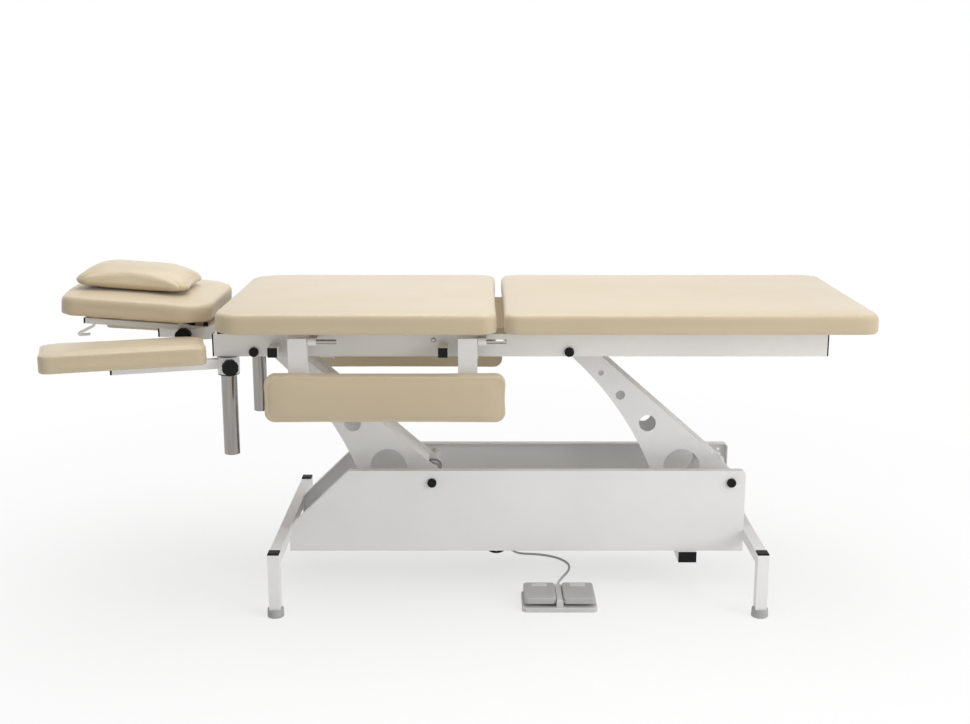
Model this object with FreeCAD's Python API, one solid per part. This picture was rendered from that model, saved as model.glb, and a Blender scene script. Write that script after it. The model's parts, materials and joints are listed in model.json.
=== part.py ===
# Electric massage table: fixed base, parallel lift arms, level upper frame with cushions,
# tilting headrest, hanging side armrests, sliding head-end armrests and a foot switch.
# Millimetres. +Z up, the head end towards -X, the front towards -Y, origin on the floor under the middle.
import FreeCAD
import Part
import math
import os

Vector = FreeCAD.Vector

# Square tube, plugs and fits
tube_wall = 2.0
plug_proud = 5.0
plug_depth = 16.0
plug_gap = 0.15
running_gap = 0.05
side_gap = 1.0

# Base
leg_tube = 30.0
leg_top = 176.0
leg_half_spread = 330.0
head_leg_x = -490.0
foot_leg_x = 805.0
foot_radius = 22.5
foot_height = 23.0
foot_floor = 8.0
panel_face_y = 146.0
panel_sheet = 3.0
panel_rim = 22.0
panel_bottom = 114.0
panel_top = 347.0
panel_slope_run = 169.0
panel_slope_bottom = 183.0
panel_corner = 12.0
cross_channel_width = 40.0
cross_channel_height = 50.0
cross_channel_inset = 30.0
under_tube_x = 635.0
under_tube_width = 50.0
under_tube_height = 30.0
under_tube_overhang = 10.0
panel_hole_radius = 3.0
panel_hole_pitch = 14.0

# Lift arms
lower_pivot_z = 313.0
foot_pivot_x = 751.0
pivot_spacing = 828.0
arm_reach = 460.0
arm_rise = 391.0
arm_plate = 5.0
arm_face_y = 57.0
arm_upper_edge = 28.0
arm_lower_edge = 18.0
arm_web = 4.0
arm_web_recess = 8.0
arm_web_end = 27.0
pivot_bolt_radius = 8.0
pivot_tube_radius = 14.0
pivot_cap_radius = 12.5
pivot_cap_height = 9.0
lower_bolt_reach = 45.0
upper_bolt_reach = 75.0
arm_holes = [(-126.0, 19.0, 51.0), (-225.0, 146.0, 23.5), (-303.0, 227.0, 13.0), (-358.0, 291.0, 7.5)]

# Actuator and the lever that it pushes
lever_drop = 70.0
lever_lean = -12.0
lever_plate = 6.0
lever_pin_radius = 8.0
lever_rim = 8.0
pin_proud = 3.0
lever_eye_play = 6.0
actuator_x = 170.0
actuator_z = 152.0
actuator_pin_radius = 6.0
actuator_bracket_offset = 20.0
actuator_eye_width = 24.0
gear_length = 78.0
gear_height = 56.0
gear_width = 52.0
gear_corner = 6.0
motor_radius = 38.0
motor_length = 92.0
motor_along = 57.7
motor_below = 41.5
actuator_tube_radius = 22.0
actuator_tube_length = 98.0
rod_radius = 12.0
rod_engaged = 38.0
rod_eye_radius = 24.0
rod_eye_width = 22.0

# Control box, gland and cord
control_box_x = 55.0
control_box_length = 120.0
control_box_depth = 75.0
control_box_height = 60.0
gland_x = 130.0
gland_y = 95.0
gland_radius = 9.0
gland_nut = 14.0
relief_length = 18.0
relief_wall = 1.2
cord_radius = 3.25
cord_route = [(130, 95, 85), (131, 97, 64), (135, 103, 43), (145, 110, 23), (162, 115, 8.5),
              (184, 117.5, 3.5), (216, 115, 3.4), (250, 106, 3.4), (282, 88, 3.4), (306, 60, 3.4),
              (318, 26, 3.4), (316, -8, 3.4), (305, -41, 3.4), (291, -73, 3.5), (280, -106, 4.5),
              (274, -138, 8), (272, -163, 12), (272, -185, 13)]

# Foot switch
switch_x = 272.0
switch_rear_y = -185.0
switch_width = 204.0
switch_depth = 125.0
switch_plate = 12.0
switch_rib = 20.0
switch_height = 38.0
switch_corner = 14.0
switch_edge = 3.0
switch_spine_drop = 6.0
pedal_rear_inset = 4.0
pedal_edge = 4.0
pedal_corner = 10.0
pedal_width = 86.0
pedal_depth = 112.0
pedal_thickness = 17.0
pedal_lift = 9.0
pedal_pin_radius = 3.0
pedal_pin_inset = 13.0

# Upper frame
rail_y = 228.0
rail_width = 30.0
rail_height = 60.0
rail_head_x = -642.0
rail_length = 1610.0
rail_below_pivot = 12.0
rail_cap = 4.0
cross_tube_width = 30.0
cross_tube_height = 30.0
cross_tube_end_inset = 18.0
cross_tube_head_x = rail_head_x + cross_tube_width / 2
cross_tube_foot_x = rail_head_x + rail_length - cross_tube_end_inset
cross_tube_x = [cross_tube_head_x, -100.0, 200.0, 700.0, cross_tube_foot_x]
stub_tube = 25.0
stub_from_pivot = 58.0
stub_pitch = 440.0
stub_reach = 57.0
stub_above_pivot = 10.0
board_thickness = 15.0
board_side_inset = 100.0
board_end_inset = 35.0
board_gap = 0.6
spacer_length = 35.0
spacer_overlap = 34.0

# Cushions
cushion_width = 680.0
cushion_thickness = 62.0
cushion_edge = 5.0
cushion_top_edge = 16.0
cushion_crown = 5.0
cushion_draw = 3.0
seat_head_x = -630.0
seat_length = 730.0
seat_head_corner = 75.0
cushion_gap = 18.0
leg_length = 945.0
cushion_corner = 40.0

# Side armrests
armrest_pad_offset = 7.0
armrest_pad_length = 622.0
armrest_pad_height = 124.0
armrest_pad_thickness = 50.0
armrest_pad_top = 662.0
armrest_corner = 28.0
armrest_pad_edge = 7.0
armrest_pad_crown = 3.0
armrest_face_y = 300.0
armrest_pin_y = 290.0
armrest_pin_z = 741.0
armrest_pin_radius = 6.0
armrest_pin_free = 52.0
bracket_from_stub = 64.0
bracket_width = 50.0
bracket_sheet = 3.0
bracket_flange = 20.0
bracket_below_pad_top = 92.0
lug_length = 22.0
lug_radius = 10.0
lug_height = 12.0
lug_gap = 1.5

# Head-end armrests
column_from_rail_end = 34.0
column_x = rail_head_x + column_from_rail_end
column_radius = 21.0
column_wall = 2.5
column_length = 269.0
sleeve_height = 45.0
sleeve_gap = 2.0
sleeve_wall = 5.0
bush_wall = 3.0
bush_flange = 3.0
head_arm_yaw = 16.0
head_arm_tube = 25.0
head_arm_reach = 297.0
head_arm_tube_drop = 5.5
head_pad_length = 414.0
head_pad_width = 166.0
head_pad_thickness = 55.0
head_pad_centre = 266.0
rear_arm_drop = 20.0
boss_radius = 11.0
boss_length = 8.0
knob_radius = 21.5
knob_height = 19.0
knob_stud_radius = 4.0
knob_gap = 0.3

# Headrest
hinge_ahead = 18.0
hinge_z = 741.0
headrest_tilt = 4.2
hinge_pin_radius = 6.0
headrest_tube_width = 25.0
headrest_tube_height = 15.0
headrest_tube_y = 119.5
headrest_tube_length = 350.0
headrest_tube_tail = 10.0
headrest_cross_from_hinge = 215.0
headrest_board = 19.0
headrest_board_width = 250.0
headrest_width = 430.0
headrest_length = 392.0
headrest_thickness = 60.0
headrest_overhang = -7.0
headrest_corner = 45.0
headrest_foot_corner = 90.0
headrest_bow = 16.0
ear_plate = 6.0
ear_radius = 13.0
ear_root = 18.0
clamp_radius = 14.0
clamp_root_radius = 18.0
quadrant_plate = 5.0
quadrant_margin = 12.0
tilt_up = 18.0
tilt_down = 10.0
knob_from_hinge_x = -82.0
knob_from_hinge_z = -13.0
slot_play = 0.4
tongue_tube = 25.0
tongue_reach = 229.0
handle_radius = 4.0
handle_drop = 45.0
handle_lean = 54.0
handle_hook_back = 33.0
handle_hook_across = 30.0
handle_y = -90.0
pillow_length = 320.0
pillow_width = 225.0
pillow_thickness = 64.0
pillow_from_hinge = 232.0
pillow_y = -20.0
pillow_turn = 15.0
pillow_corner = 45.0
pillow_edge = 10.0
rest_gap = 0.3

# Worked-out places
head_pivot_x = foot_pivot_x - pivot_spacing
upper_pivot_z = lower_pivot_z + arm_rise
rail_bottom = upper_pivot_z - rail_below_pivot
rail_top = rail_bottom + rail_height
rail_face_y = rail_y + rail_width / 2
rail_inner_y = rail_y - rail_width / 2
cushion_bottom = rail_top + board_thickness
panel_inner_y = panel_face_y - panel_sheet
panel_head_x = head_leg_x + leg_tube / 2
panel_foot_x = foot_leg_x - leg_tube / 2
lever_gap = 2 * (rod_radius + side_gap)
first_stub_x = head_pivot_x - arm_reach + stub_from_pivot
stub_x = [first_stub_x, first_stub_x + stub_pitch]
bracket_x = [x + bracket_from_stub for x in stub_x]
armrest_pad_x = sum(bracket_x) / 2 + armrest_pad_offset
seat_foot_x = seat_head_x + seat_length
leg_head_x = seat_foot_x + cushion_gap


def save(name, *solids):
    shape = solids[0] if len(solids) == 1 else Part.makeCompound(list(solids))
    shape.exportStep("parts/" + name + ".step")
    print(name, len(shape.Solids), "solids", round(shape.Volume / 1000), "cm3", shape.isValid())


def block(x0, x1, y0, y1, z0, z1):
    return Part.makeBox(x1 - x0, y1 - y0, z1 - z0, Vector(x0, y0, z0))


def rod(start, axis, radius, length):
    return Part.makeCylinder(radius, length, Vector(*start), Vector(*axis))


def rod_y(x, z, radius, y0, y1):
    return rod((x, y0, z), (0, 1, 0), radius, y1 - y0)


def rod_x(y, z, radius, x0, x1):
    return rod((x0, y, z), (1, 0, 0), radius, x1 - x0)


def rod_z(x, y, radius, z0, z1):
    return rod((x, y, z0), (0, 0, 1), radius, z1 - z0)


def mirrored(shape):
    return shape.mirror(Vector(0, 0, 0), Vector(0, 1, 0))


def both_sides(shapes):
    return list(shapes) + [mirrored(shape) for shape in shapes]


def turned(shape, centre, axis, degrees):
    copy = shape.copy()
    copy.rotate(Vector(*centre), Vector(*axis), degrees)
    return copy


def flat_plate(edges, y0, thickness):
    # Extrudes a closed outline drawn in the XZ plane along +Y.
    wire = Part.Wire(Part.__sortEdges__(edges))
    face = Part.Face(wire)
    face.translate(Vector(0, y0, 0))
    return face.extrude(Vector(0, thickness, 0))


def line(a, b):
    return Part.LineSegment(Vector(*a), Vector(*b)).toShape()


def arc(a, middle, b):
    return Part.Arc(Vector(*a), Vector(*middle), Vector(*b)).toShape()


def link_plate(first, r1, second, r2, y0, thickness):
    # Plate round two pivots, with straight tangent sides.
    dx = second[0] - first[0]
    dz = second[1] - first[1]
    length = math.hypot(dx, dz)
    heading = math.atan2(dz, dx)
    spread = math.acos((r1 - r2) / length)

    def on(centre, radius, angle):
        return (centre[0] + radius * math.cos(angle), 0, centre[1] + radius * math.sin(angle))

    left = heading + spread
    right = heading - spread
    edges = [
        line(on(first, r1, left), on(second, r2, left)),
        arc(on(second, r2, left), on(second, r2, heading), on(second, r2, right)),
        line(on(second, r2, right), on(first, r1, right)),
        arc(on(first, r1, right), on(first, r1, heading + math.pi), on(first, r1, left)),
    ]
    return flat_plate(edges, y0, thickness)


def tube_x(x0, x1, y, z, width, height):
    outer = block(x0, x1, y - width / 2, y + width / 2, z - height / 2, z + height / 2)
    w = width / 2 - tube_wall
    h = height / 2 - tube_wall
    return outer.cut(block(x0, x1, y - w, y + w, z - h, z + h))


def tube_y(y0, y1, x, z, width, height):
    w = width / 2
    h = height / 2
    outer = block(x - w, x + w, y0, y1, z - h, z + h)
    w -= tube_wall
    h -= tube_wall
    return outer.cut(block(x - w, x + w, y0, y1, z - h, z + h))


def tube_z(z0, z1, x, y, width):
    w = width / 2
    bore = w - tube_wall
    outer = block(x - w, x + w, y - w, y + w, z0, z1)
    return outer.cut(block(x - bore, x + bore, y - bore, y + bore, z0, z1))


def plug(width, height, proud):
    # Tube end plug in its own frame: the cap stands proud along +Z, the spigot enters the tube.
    cap = block(-width / 2, width / 2, -height / 2, height / 2, 0, proud)
    rim = [edge for edge in cap.Edges if edge.BoundBox.ZMin > proud - 0.01]
    cap = cap.makeFillet(min(2.0, proud / 2), rim)
    w = width / 2 - tube_wall - plug_gap
    h = height / 2 - tube_wall - plug_gap
    return cap.fuse(block(-w, w, -h, h, -plug_depth, 0)).removeSplitter()


def plug_at(x, y, z, width, height, heading, proud=None):
    # Sets a plug on the open end of a tube that points along the heading.
    shape = plug(width, height, plug_proud if proud is None else proud)
    turn = FreeCAD.Rotation(Vector(0, 0, 1), Vector(*heading))
    if heading[0]:
        turn = turn.multiply(FreeCAD.Rotation(Vector(0, 0, 1), 90 if heading[0] > 0 else -90))
    shape.Placement = FreeCAD.Placement(Vector(x, y, z), turn)
    return shape


def outline(half_x, half_y, corners, bows, z):
    # Rounded outline at height z. Corners and sides run anticlockwise from the -Y side;
    # a bow above zero swells a side outward, below zero draws it in.
    sign = [(1, -1), (1, 1), (-1, 1), (-1, -1)]
    heading = [-90, 0, 90, 180]
    starts = []
    ends = []
    edges = []
    for (sx, sy), radius, angle in zip(sign, corners, heading):
        centre = Vector(sx * (half_x - radius), sy * (half_y - radius), z)
        points = []
        for step in (0, 45, 90):
            turn = math.radians(angle + step)
            points.append(centre + Vector(radius * math.cos(turn), radius * math.sin(turn), 0))
        starts.append(points[0])
        ends.append(points[2])
        edges.append(Part.Arc(*points).toShape())
    outward = [Vector(0, -1, 0), Vector(1, 0, 0), Vector(0, 1, 0), Vector(-1, 0, 0)]
    ordered = []
    for index in range(4):
        a = ends[index - 1]
        b = starts[index]
        middle = (a + b) * 0.5 + outward[index] * bows[index]
        ordered.append(Part.Arc(a, middle, b).toShape())
        ordered.append(edges[index])
    return Part.Wire(ordered)


def cushion(length, width, thickness, edge, top_edge, crown, corners, bows=(0, 0, 0, 0)):
    # Upholstered block lying on z = 0: rounded edges, sides drawn in at mid height, crowned top.
    side_top = thickness - crown
    half = min(length, width) / 2
    draw = cushion_draw
    soft = 0.3 * edge
    levels = [(0, edge, 0), (soft, soft, 0), (edge, 0, 0), ((edge + side_top - top_edge) / 2, 0, draw)]
    for degrees in (0, 30, 60, 90):
        turn = math.radians(degrees)
        levels.append((side_top - top_edge * (1 - math.sin(turn)), top_edge * (1 - math.cos(turn)), 0))
    levels.append((side_top + 0.6 * crown, top_edge + 0.3 * half, 0))
    levels.append((thickness, top_edge + 0.62 * half, 0))
    wires = []
    for z, inset, pull in levels:
        radii = [max(radius - 0.5 * inset, edge) for radius in corners]
        # Every side keeps a slight bow, so that all sections join arc to arc.
        sides = [bow * (1 - inset / half) - draw / 2 - pull for bow in bows]
        wires.append(outline(length / 2 - inset, width / 2 - inset, radii, sides, z))
    return Part.makeLoft(wires, True, True)


def placed(shape, x, y, z):
    shape.translate(Vector(x, y, z))
    return shape


# Base: leg frames, feet, side panels, cross members
def make_base():
    leg_frames = []
    feet = []
    plugs = []
    half = leg_tube / 2
    tube_z_mid = leg_top - half
    for x in (head_leg_x, foot_leg_x):
        inner = leg_half_spread - half
        leg_frames.append(tube_y(-inner, inner, x, tube_z_mid, leg_tube, leg_tube))
        for y in (-leg_half_spread, leg_half_spread):
            leg_frames.append(tube_z(foot_floor, leg_top, x, y, leg_tube))
            plugs.append(plug_at(x, y, leg_top, leg_tube, leg_tube, (0, 0, 1)))
            cup = Part.makeCone(foot_radius, foot_radius - 1, foot_height, Vector(x, y, 0))
            cup = cup.makeFillet(2.0, [cup.Edges[0], cup.Edges[2]])
            socket = half + running_gap
            tip = block(x - socket, x + socket, y - socket, y + socket, foot_floor, foot_height)
            feet.append(cup.cut(tip))
    save("leg_frames", *leg_frames)
    save("feet", *feet)

    end_y = panel_face_y + under_tube_overhang
    under_z = panel_bottom - under_tube_height / 2
    under_tube = tube_y(-end_y, end_y, under_tube_x, under_z, under_tube_width, under_tube_height)
    for side in (-1, 1):
        spot = (under_tube_x, side * end_y, under_z)
        plugs.append(plug_at(*spot, under_tube_width, under_tube_height, (0, side, 0)))
    save("base_plugs", *plugs)

    channels = [under_tube]
    floor_z = panel_bottom + panel_sheet
    for x in (panel_head_x + cross_channel_inset, panel_foot_x - cross_channel_inset - cross_channel_width):
        x1 = x + cross_channel_width
        top = floor_z + cross_channel_height
        channel = block(x, x1, -panel_inner_y, panel_inner_y, floor_z, top)
        hollow = block(x + panel_sheet, x1 - panel_sheet, -panel_inner_y, panel_inner_y, floor_z,
                       top - panel_sheet)
        channels.append(channel.cut(hollow))
    save("base_cross_members", *channels)
    save("base_panel_front", side_panel())
    rear = mirrored(side_panel())
    for index in range(3):
        x = foot_pivot_x + panel_hole_pitch + index * panel_hole_pitch / 3
        z = lower_pivot_z + panel_hole_pitch * (0.8 - index)
        rear = rear.cut(rod_y(x, z, panel_hole_radius, 0, panel_face_y))
    save("base_panel_rear", rear)
    lower_x = [head_pivot_x, foot_pivot_x]
    save("lower_pivot_bolts", *pivot_bolts(lower_pivot_z, *lower_x, panel_face_y, lower_bolt_reach))


def panel_edges(inset):
    # Side view of a panel, or of the inside of its folded rim.
    x0 = panel_head_x + inset
    x1 = panel_foot_x - inset
    z0 = panel_bottom + inset
    z1 = panel_top - inset
    rise = panel_top - panel_slope_bottom
    slope = math.hypot(panel_slope_run, rise)
    slope_z = panel_slope_bottom + inset * (rise - slope) / panel_slope_run
    slope_x = panel_head_x + panel_slope_run + inset * (slope - panel_slope_run) / rise
    r = panel_corner - inset
    bend = r * (1 - math.sqrt(0.5))
    return [
        line((x0, 0, z0), (x1, 0, z0)),
        line((x1, 0, z0), (x1, 0, z1 - r)),
        arc((x1, 0, z1 - r), (x1 - bend, 0, z1 - bend), (x1 - r, 0, z1)),
        line((x1 - r, 0, z1), (slope_x, 0, z1)),
        line((slope_x, 0, z1), (x0, 0, slope_z)),
        line((x0, 0, slope_z), (x0, 0, z0)),
    ]


def side_panel():
    # Front panel: a flat sheet whose edges are folded inward all round.
    tray = flat_plate(panel_edges(0), -panel_face_y, panel_rim)
    panel = tray.cut(flat_plate(panel_edges(panel_sheet), -panel_inner_y, panel_rim))
    for x in (head_pivot_x, foot_pivot_x):
        panel = panel.cut(rod_y(x, lower_pivot_z, pivot_bolt_radius + running_gap, -panel_face_y, 0))
    return panel


def pivot_bolts(z, x0, x1, face_y, reach):
    # Bolts with domed caps outside a wall, their shanks reaching inward as the pivots.
    bolts = []
    for x in (x0, x1):
        cap = rod_y(x, z, pivot_cap_radius, -face_y - pivot_cap_height, -face_y)
        rim = [edge for edge in cap.Edges if edge.BoundBox.YMax < -face_y - pivot_cap_height + 0.01]
        cap = cap.makeFillet(pivot_cap_height / 3, rim)
        bolts.append(cap.fuse(rod_y(x, z, pivot_bolt_radius, -face_y, -face_y + reach)).removeSplitter())
    return both_sides(bolts)


# Lift arms
def arm_outline(pivot_x):
    # Broad at the lower pivot, narrow at the upper one, with a hollow head-side edge.
    length = math.hypot(arm_reach, arm_rise)
    along = (-arm_reach / length, arm_rise / length)
    normal = (along[1], -along[0])

    def at(base, shift, direction):
        x = pivot_x + base[0] + shift * direction[0]
        return (x, 0, lower_pivot_z + base[1] + shift * direction[1])

    upper = (-arm_reach, arm_rise)
    lower = (0, 0)
    top_right = at(upper, arm_upper_edge, normal)
    top_left = at(upper, -arm_upper_edge, normal)
    hollow = at((-0.71 * arm_reach, 0.542 * arm_rise), 0, along)
    heel = at((-0.445 * arm_reach, -0.03 * arm_rise), 0, along)
    heel_round = at((-0.435 * arm_reach, -0.138 * arm_rise), 0, along)
    sole = at((-0.385 * arm_reach, -0.16 * arm_rise), 0, along)
    toe = at(lower, -arm_lower_edge - 6, (0.2, 1))
    toe_round = at(lower, arm_lower_edge, (0.9, -0.43))
    bottom_right = at(lower, arm_lower_edge, normal)
    return [
        line(bottom_right, top_right),
        arc(top_right, at(upper, arm_upper_edge, along), top_left),
        arc(top_left, hollow, heel),
        arc(heel, heel_round, sole),
        line(sole, toe),
        arc(toe, toe_round, bottom_right),
    ]


def arm_solids(pivot_x):
    edges = arm_outline(pivot_x)
    upper_x = pivot_x - arm_reach
    plate = flat_plate(edges, -arm_face_y, arm_plate)
    for x, z, radius in arm_holes:
        plate = plate.cut(rod_y(pivot_x + x, lower_pivot_z + z, radius, -arm_face_y, 0))
    tubes = []
    for x, z, end_y in ((pivot_x, lower_pivot_z, panel_inner_y), (upper_x, upper_pivot_z, rail_inner_y)):
        reach = end_y - side_gap
        plate = plate.cut(rod_y(x, z, pivot_tube_radius + running_gap, -arm_face_y, 0))
        tube = rod_y(x, z, pivot_tube_radius, -reach, reach)
        tubes.append(tube.cut(rod_y(x, z, pivot_bolt_radius + running_gap, -reach, reach)))
    inner_y = arm_face_y - arm_plate
    length = math.hypot(arm_reach, arm_rise)
    taper = math.atan2(arm_upper_edge - arm_lower_edge, length)
    slant = math.degrees(math.atan2(arm_rise, arm_reach) + taper)
    depth = arm_lower_edge - arm_web_recess
    web = block(-length + arm_web_end, -arm_web_end, -inner_y, inner_y, depth - arm_web, depth)
    web = placed(turned(web, (0, 0, 0), (0, 1, 0), slant), pivot_x, 0, lower_pivot_z)
    return [plate, mirrored(plate), web], tubes


def make_arms():
    for name, pivot_x in (("foot", foot_pivot_x), ("head", head_pivot_x)):
        plates, tubes = arm_solids(pivot_x)
        save(name + "_lift_arm_plates", *plates)
        save(name + "_lift_arm_tubes", *tubes)
    pin_x = head_pivot_x + lever_lean
    pin_z = lower_pivot_z - lever_drop
    pivot = (head_pivot_x, lower_pivot_z)
    hub = pivot_tube_radius + lever_rim
    eye = lever_pin_radius + lever_rim
    lever = link_plate(pivot, hub, (pin_x, pin_z), eye, lever_gap / 2, lever_plate)
    lever = lever.cut(rod_y(*pivot, pivot_tube_radius + running_gap, 0, arm_face_y))
    lever = lever.cut(rod_y(pin_x, pin_z, lever_pin_radius + running_gap, 0, arm_face_y))
    pin_reach = lever_gap / 2 + lever_plate + pin_proud
    save("lift_lever", lever, mirrored(lever), rod_y(pin_x, pin_z, lever_pin_radius, -pin_reach, pin_reach))


# Actuator: made along -X from its rear pivot at the origin, then turned and moved to its place
def make_actuator():
    pin_x = head_pivot_x + lever_lean
    pin_z = lower_pivot_z - lever_drop
    stretch = math.hypot(actuator_x - pin_x, pin_z - actuator_z)
    slope = math.degrees(math.atan2(pin_z - actuator_z, actuator_x - pin_x))

    def set_in_place(shape):
        return placed(turned(shape, (0, 0, 0), (0, 1, 0), slope), actuator_x, 0, actuator_z)

    eye = actuator_eye_width / 2
    eye_radius = actuator_pin_radius + lever_rim
    gear_start = eye_radius + 3 * side_gap
    gear_end = gear_start + gear_length
    half = gear_height / 2
    gear = block(-gear_end, -gear_start, -gear_width / 2, gear_width / 2, -half, half)
    gear = gear.makeFillet(gear_corner, gear.Edges)
    gear = gear.fuse(rod_y(-motor_along, -motor_below, motor_radius - 4, -gear_width / 2, gear_width / 2))
    neck = block(-gear_start - gear_corner, 0, -eye, eye, -eye_radius, eye_radius)
    gear = gear.fuse([rod_y(0, 0, eye_radius, -eye, eye), neck])
    gear = gear.removeSplitter().cut(rod_y(0, 0, actuator_pin_radius + running_gap, -eye, eye))
    save("actuator_gear_housing", set_in_place(gear))

    motor = rod_y(-motor_along, -motor_below, motor_radius, -gear_width / 2 - motor_length, -gear_width / 2)
    motor = motor.makeFillet(5.0, [edge for edge in motor.Edges if edge.BoundBox.YMax < -gear_width])
    save("actuator_motor", set_in_place(motor))

    tube_end = gear_end + actuator_tube_length
    tube = rod_x(0, 0, actuator_tube_radius, -tube_end, -gear_end)
    save("actuator_tube", set_in_place(tube.cut(rod_x(0, 0, rod_radius + running_gap, -tube_end, -gear_end))))

    push_rod = rod_x(0, 0, rod_radius, -stretch, -tube_end + rod_engaged)
    push_rod = push_rod.fuse(rod_y(-stretch, 0, rod_eye_radius, -rod_eye_width / 2, rod_eye_width / 2))
    eye_bore = lever_pin_radius + lever_eye_play
    push_rod = push_rod.cut(rod_y(-stretch, 0, eye_bore, -rod_eye_radius, rod_eye_radius))
    save("actuator_rod", set_in_place(push_rod))

    beam = leg_tube / 2
    beam_x = actuator_x + actuator_bracket_offset + beam
    beam_z = panel_bottom + panel_sheet + beam + 5
    cross_beam = tube_y(-panel_inner_y, panel_inner_y, beam_x, beam_z, leg_tube, leg_tube + 10)
    ear_y = eye + side_gap
    ear_end = actuator_x + actuator_bracket_offset
    ear = rod_y(actuator_x, actuator_z, eye_radius, ear_y, ear_y + lever_plate)
    lower_z = actuator_z - eye_radius
    ear = ear.fuse(block(actuator_x, ear_end, ear_y, ear_y + lever_plate, lower_z, actuator_z + eye_radius))
    bore = rod_y(actuator_x, actuator_z, actuator_pin_radius + running_gap, 0, panel_inner_y)
    ear = ear.removeSplitter().cut(bore)
    pin_reach = ear_y + lever_plate + pin_proud
    pin = rod_y(actuator_x, actuator_z, actuator_pin_radius, -pin_reach, pin_reach)
    save("actuator_bracket", cross_beam, ear, mirrored(ear), pin)


# Control box, cable gland and foot-switch cord
def rounded_path(route):
    # Straight runs joined by tangent arcs, each as large as its two runs allow.
    points = [Vector(*point) for point in route]
    edges = []
    radii = []
    start = points[0]
    for before, corner, after in zip(points, points[1:], points[2:]):
        first = before - corner
        second = after - corner
        cut = 0.45 * min(first.Length, second.Length)
        radius = cut * math.tan(first.getAngle(second) / 2)
        first.normalize()
        second.normalize()
        a = corner + first * cut
        b = corner + second * cut
        inward = first + second
        inward.normalize()
        edges.append(Part.LineSegment(start, a).toShape())
        edges.append(Part.Arc(a, corner + inward * (math.hypot(cut, radius) - radius), b).toShape())
        radii.append(radius)
        start = b
    edges.append(Part.LineSegment(start, points[-1]).toShape())
    return Part.Wire(edges), radii


def swept_rod(path, radius):
    first = path.OrderedEdges[0]
    ring = Part.makeCircle(radius, first.valueAt(first.FirstParameter), first.tangentAt(first.FirstParameter))
    return path.makePipeShell([Part.Wire(ring)], True, False)


def make_control():
    floor_z = panel_bottom + panel_sheet
    x1 = control_box_x + control_box_length
    box = block(control_box_x, x1, panel_inner_y - control_box_depth, panel_inner_y, floor_z,
                floor_z + control_box_height)
    box = box.makeFillet(5.0, [edge for edge in box.Edges if edge.BoundBox.YMax < panel_inner_y - 1])
    save("control_box", box)
    nut_bottom = floor_z - gland_nut
    nut = Part.Face(Part.makePolygon([
        Vector(gland_x + gland_radius * math.cos(math.radians(60 * step)),
               gland_y + gland_radius * math.sin(math.radians(60 * step)), nut_bottom) for step in range(7)]))
    nut = nut.extrude(Vector(0, 0, gland_nut))
    relief_end = nut_bottom - relief_length
    relief_foot = Vector(gland_x, gland_y, relief_end)
    relief = Part.makeCone(cord_radius + relief_wall, 0.75 * gland_radius, relief_length, relief_foot)
    save("cable_gland", nut.fuse(relief).removeSplitter())
    path, radii = rounded_path(cord_route)
    cord = swept_rod(path, cord_radius)
    section = math.pi * cord_radius ** 2
    print("cord length", round(path.Length), "volume ratio", round(cord.Volume / (section * path.Length), 4))
    print("cord radii", [round(value) for value in radii])
    save("switch_cord", cord)


# Foot switch
def make_foot_switch():
    half = switch_width / 2
    front_y = switch_rear_y - switch_depth
    plate = block(switch_x - half, switch_x + half, front_y, switch_rear_y, 0, switch_plate)
    upright = [edge for edge in plate.Edges if edge.BoundBox.ZLength > switch_plate - 1]
    plate = plate.makeFillet(switch_corner, upright)
    rim = [edge for edge in plate.Edges if edge.BoundBox.ZMin > switch_plate - 0.1]
    plate = plate.makeFillet(switch_edge, rim)
    rib = switch_rib / 2 - side_gap
    spine_top = switch_height - switch_spine_drop
    spine = block(switch_x - rib, switch_x + rib, front_y + pedal_rear_inset, switch_rear_y, 0, spine_top)
    rim = [edge for edge in spine.Edges if edge.BoundBox.ZMin > spine_top - 0.1]
    spine = spine.makeFillet(pedal_edge, rim)
    pin_y = switch_rear_y - pedal_pin_inset
    pin_z = switch_plate + pedal_lift + pedal_thickness / 2
    body = plate.fuse(spine).removeSplitter()
    body = body.cut(rod_x(pin_y, pin_z, pedal_pin_radius + running_gap, switch_x - half, switch_x + half))
    pin_end = switch_rib / 2 + pedal_width - pedal_rear_inset
    pin = rod_x(pin_y, pin_z, pedal_pin_radius, switch_x - pin_end, switch_x + pin_end)
    save("foot_switch_base", body, pin)
    for name, side in (("pedal_left", -1), ("pedal_right", 1)):
        x0 = switch_x + side * (switch_rib / 2 + pedal_width / 2) - pedal_width / 2
        y0 = switch_rear_y - pedal_rear_inset - pedal_depth
        z0 = switch_plate + pedal_lift
        pedal = block(x0, x0 + pedal_width, y0, y0 + pedal_depth, z0, z0 + pedal_thickness)
        upright = [edge for edge in pedal.Edges if edge.BoundBox.ZLength > pedal_thickness - 1]
        pedal = pedal.makeFillet(pedal_corner, upright)
        rim = [edge for edge in pedal.Edges if edge.BoundBox.ZMin > z0 + pedal_thickness - 0.1]
        pedal = pedal.makeFillet(pedal_edge, rim)
        pedal = pedal.cut(rod_x(pin_y, pin_z, pedal_pin_radius + running_gap, x0, x0 + pedal_width))
        save(name, pedal)


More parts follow.
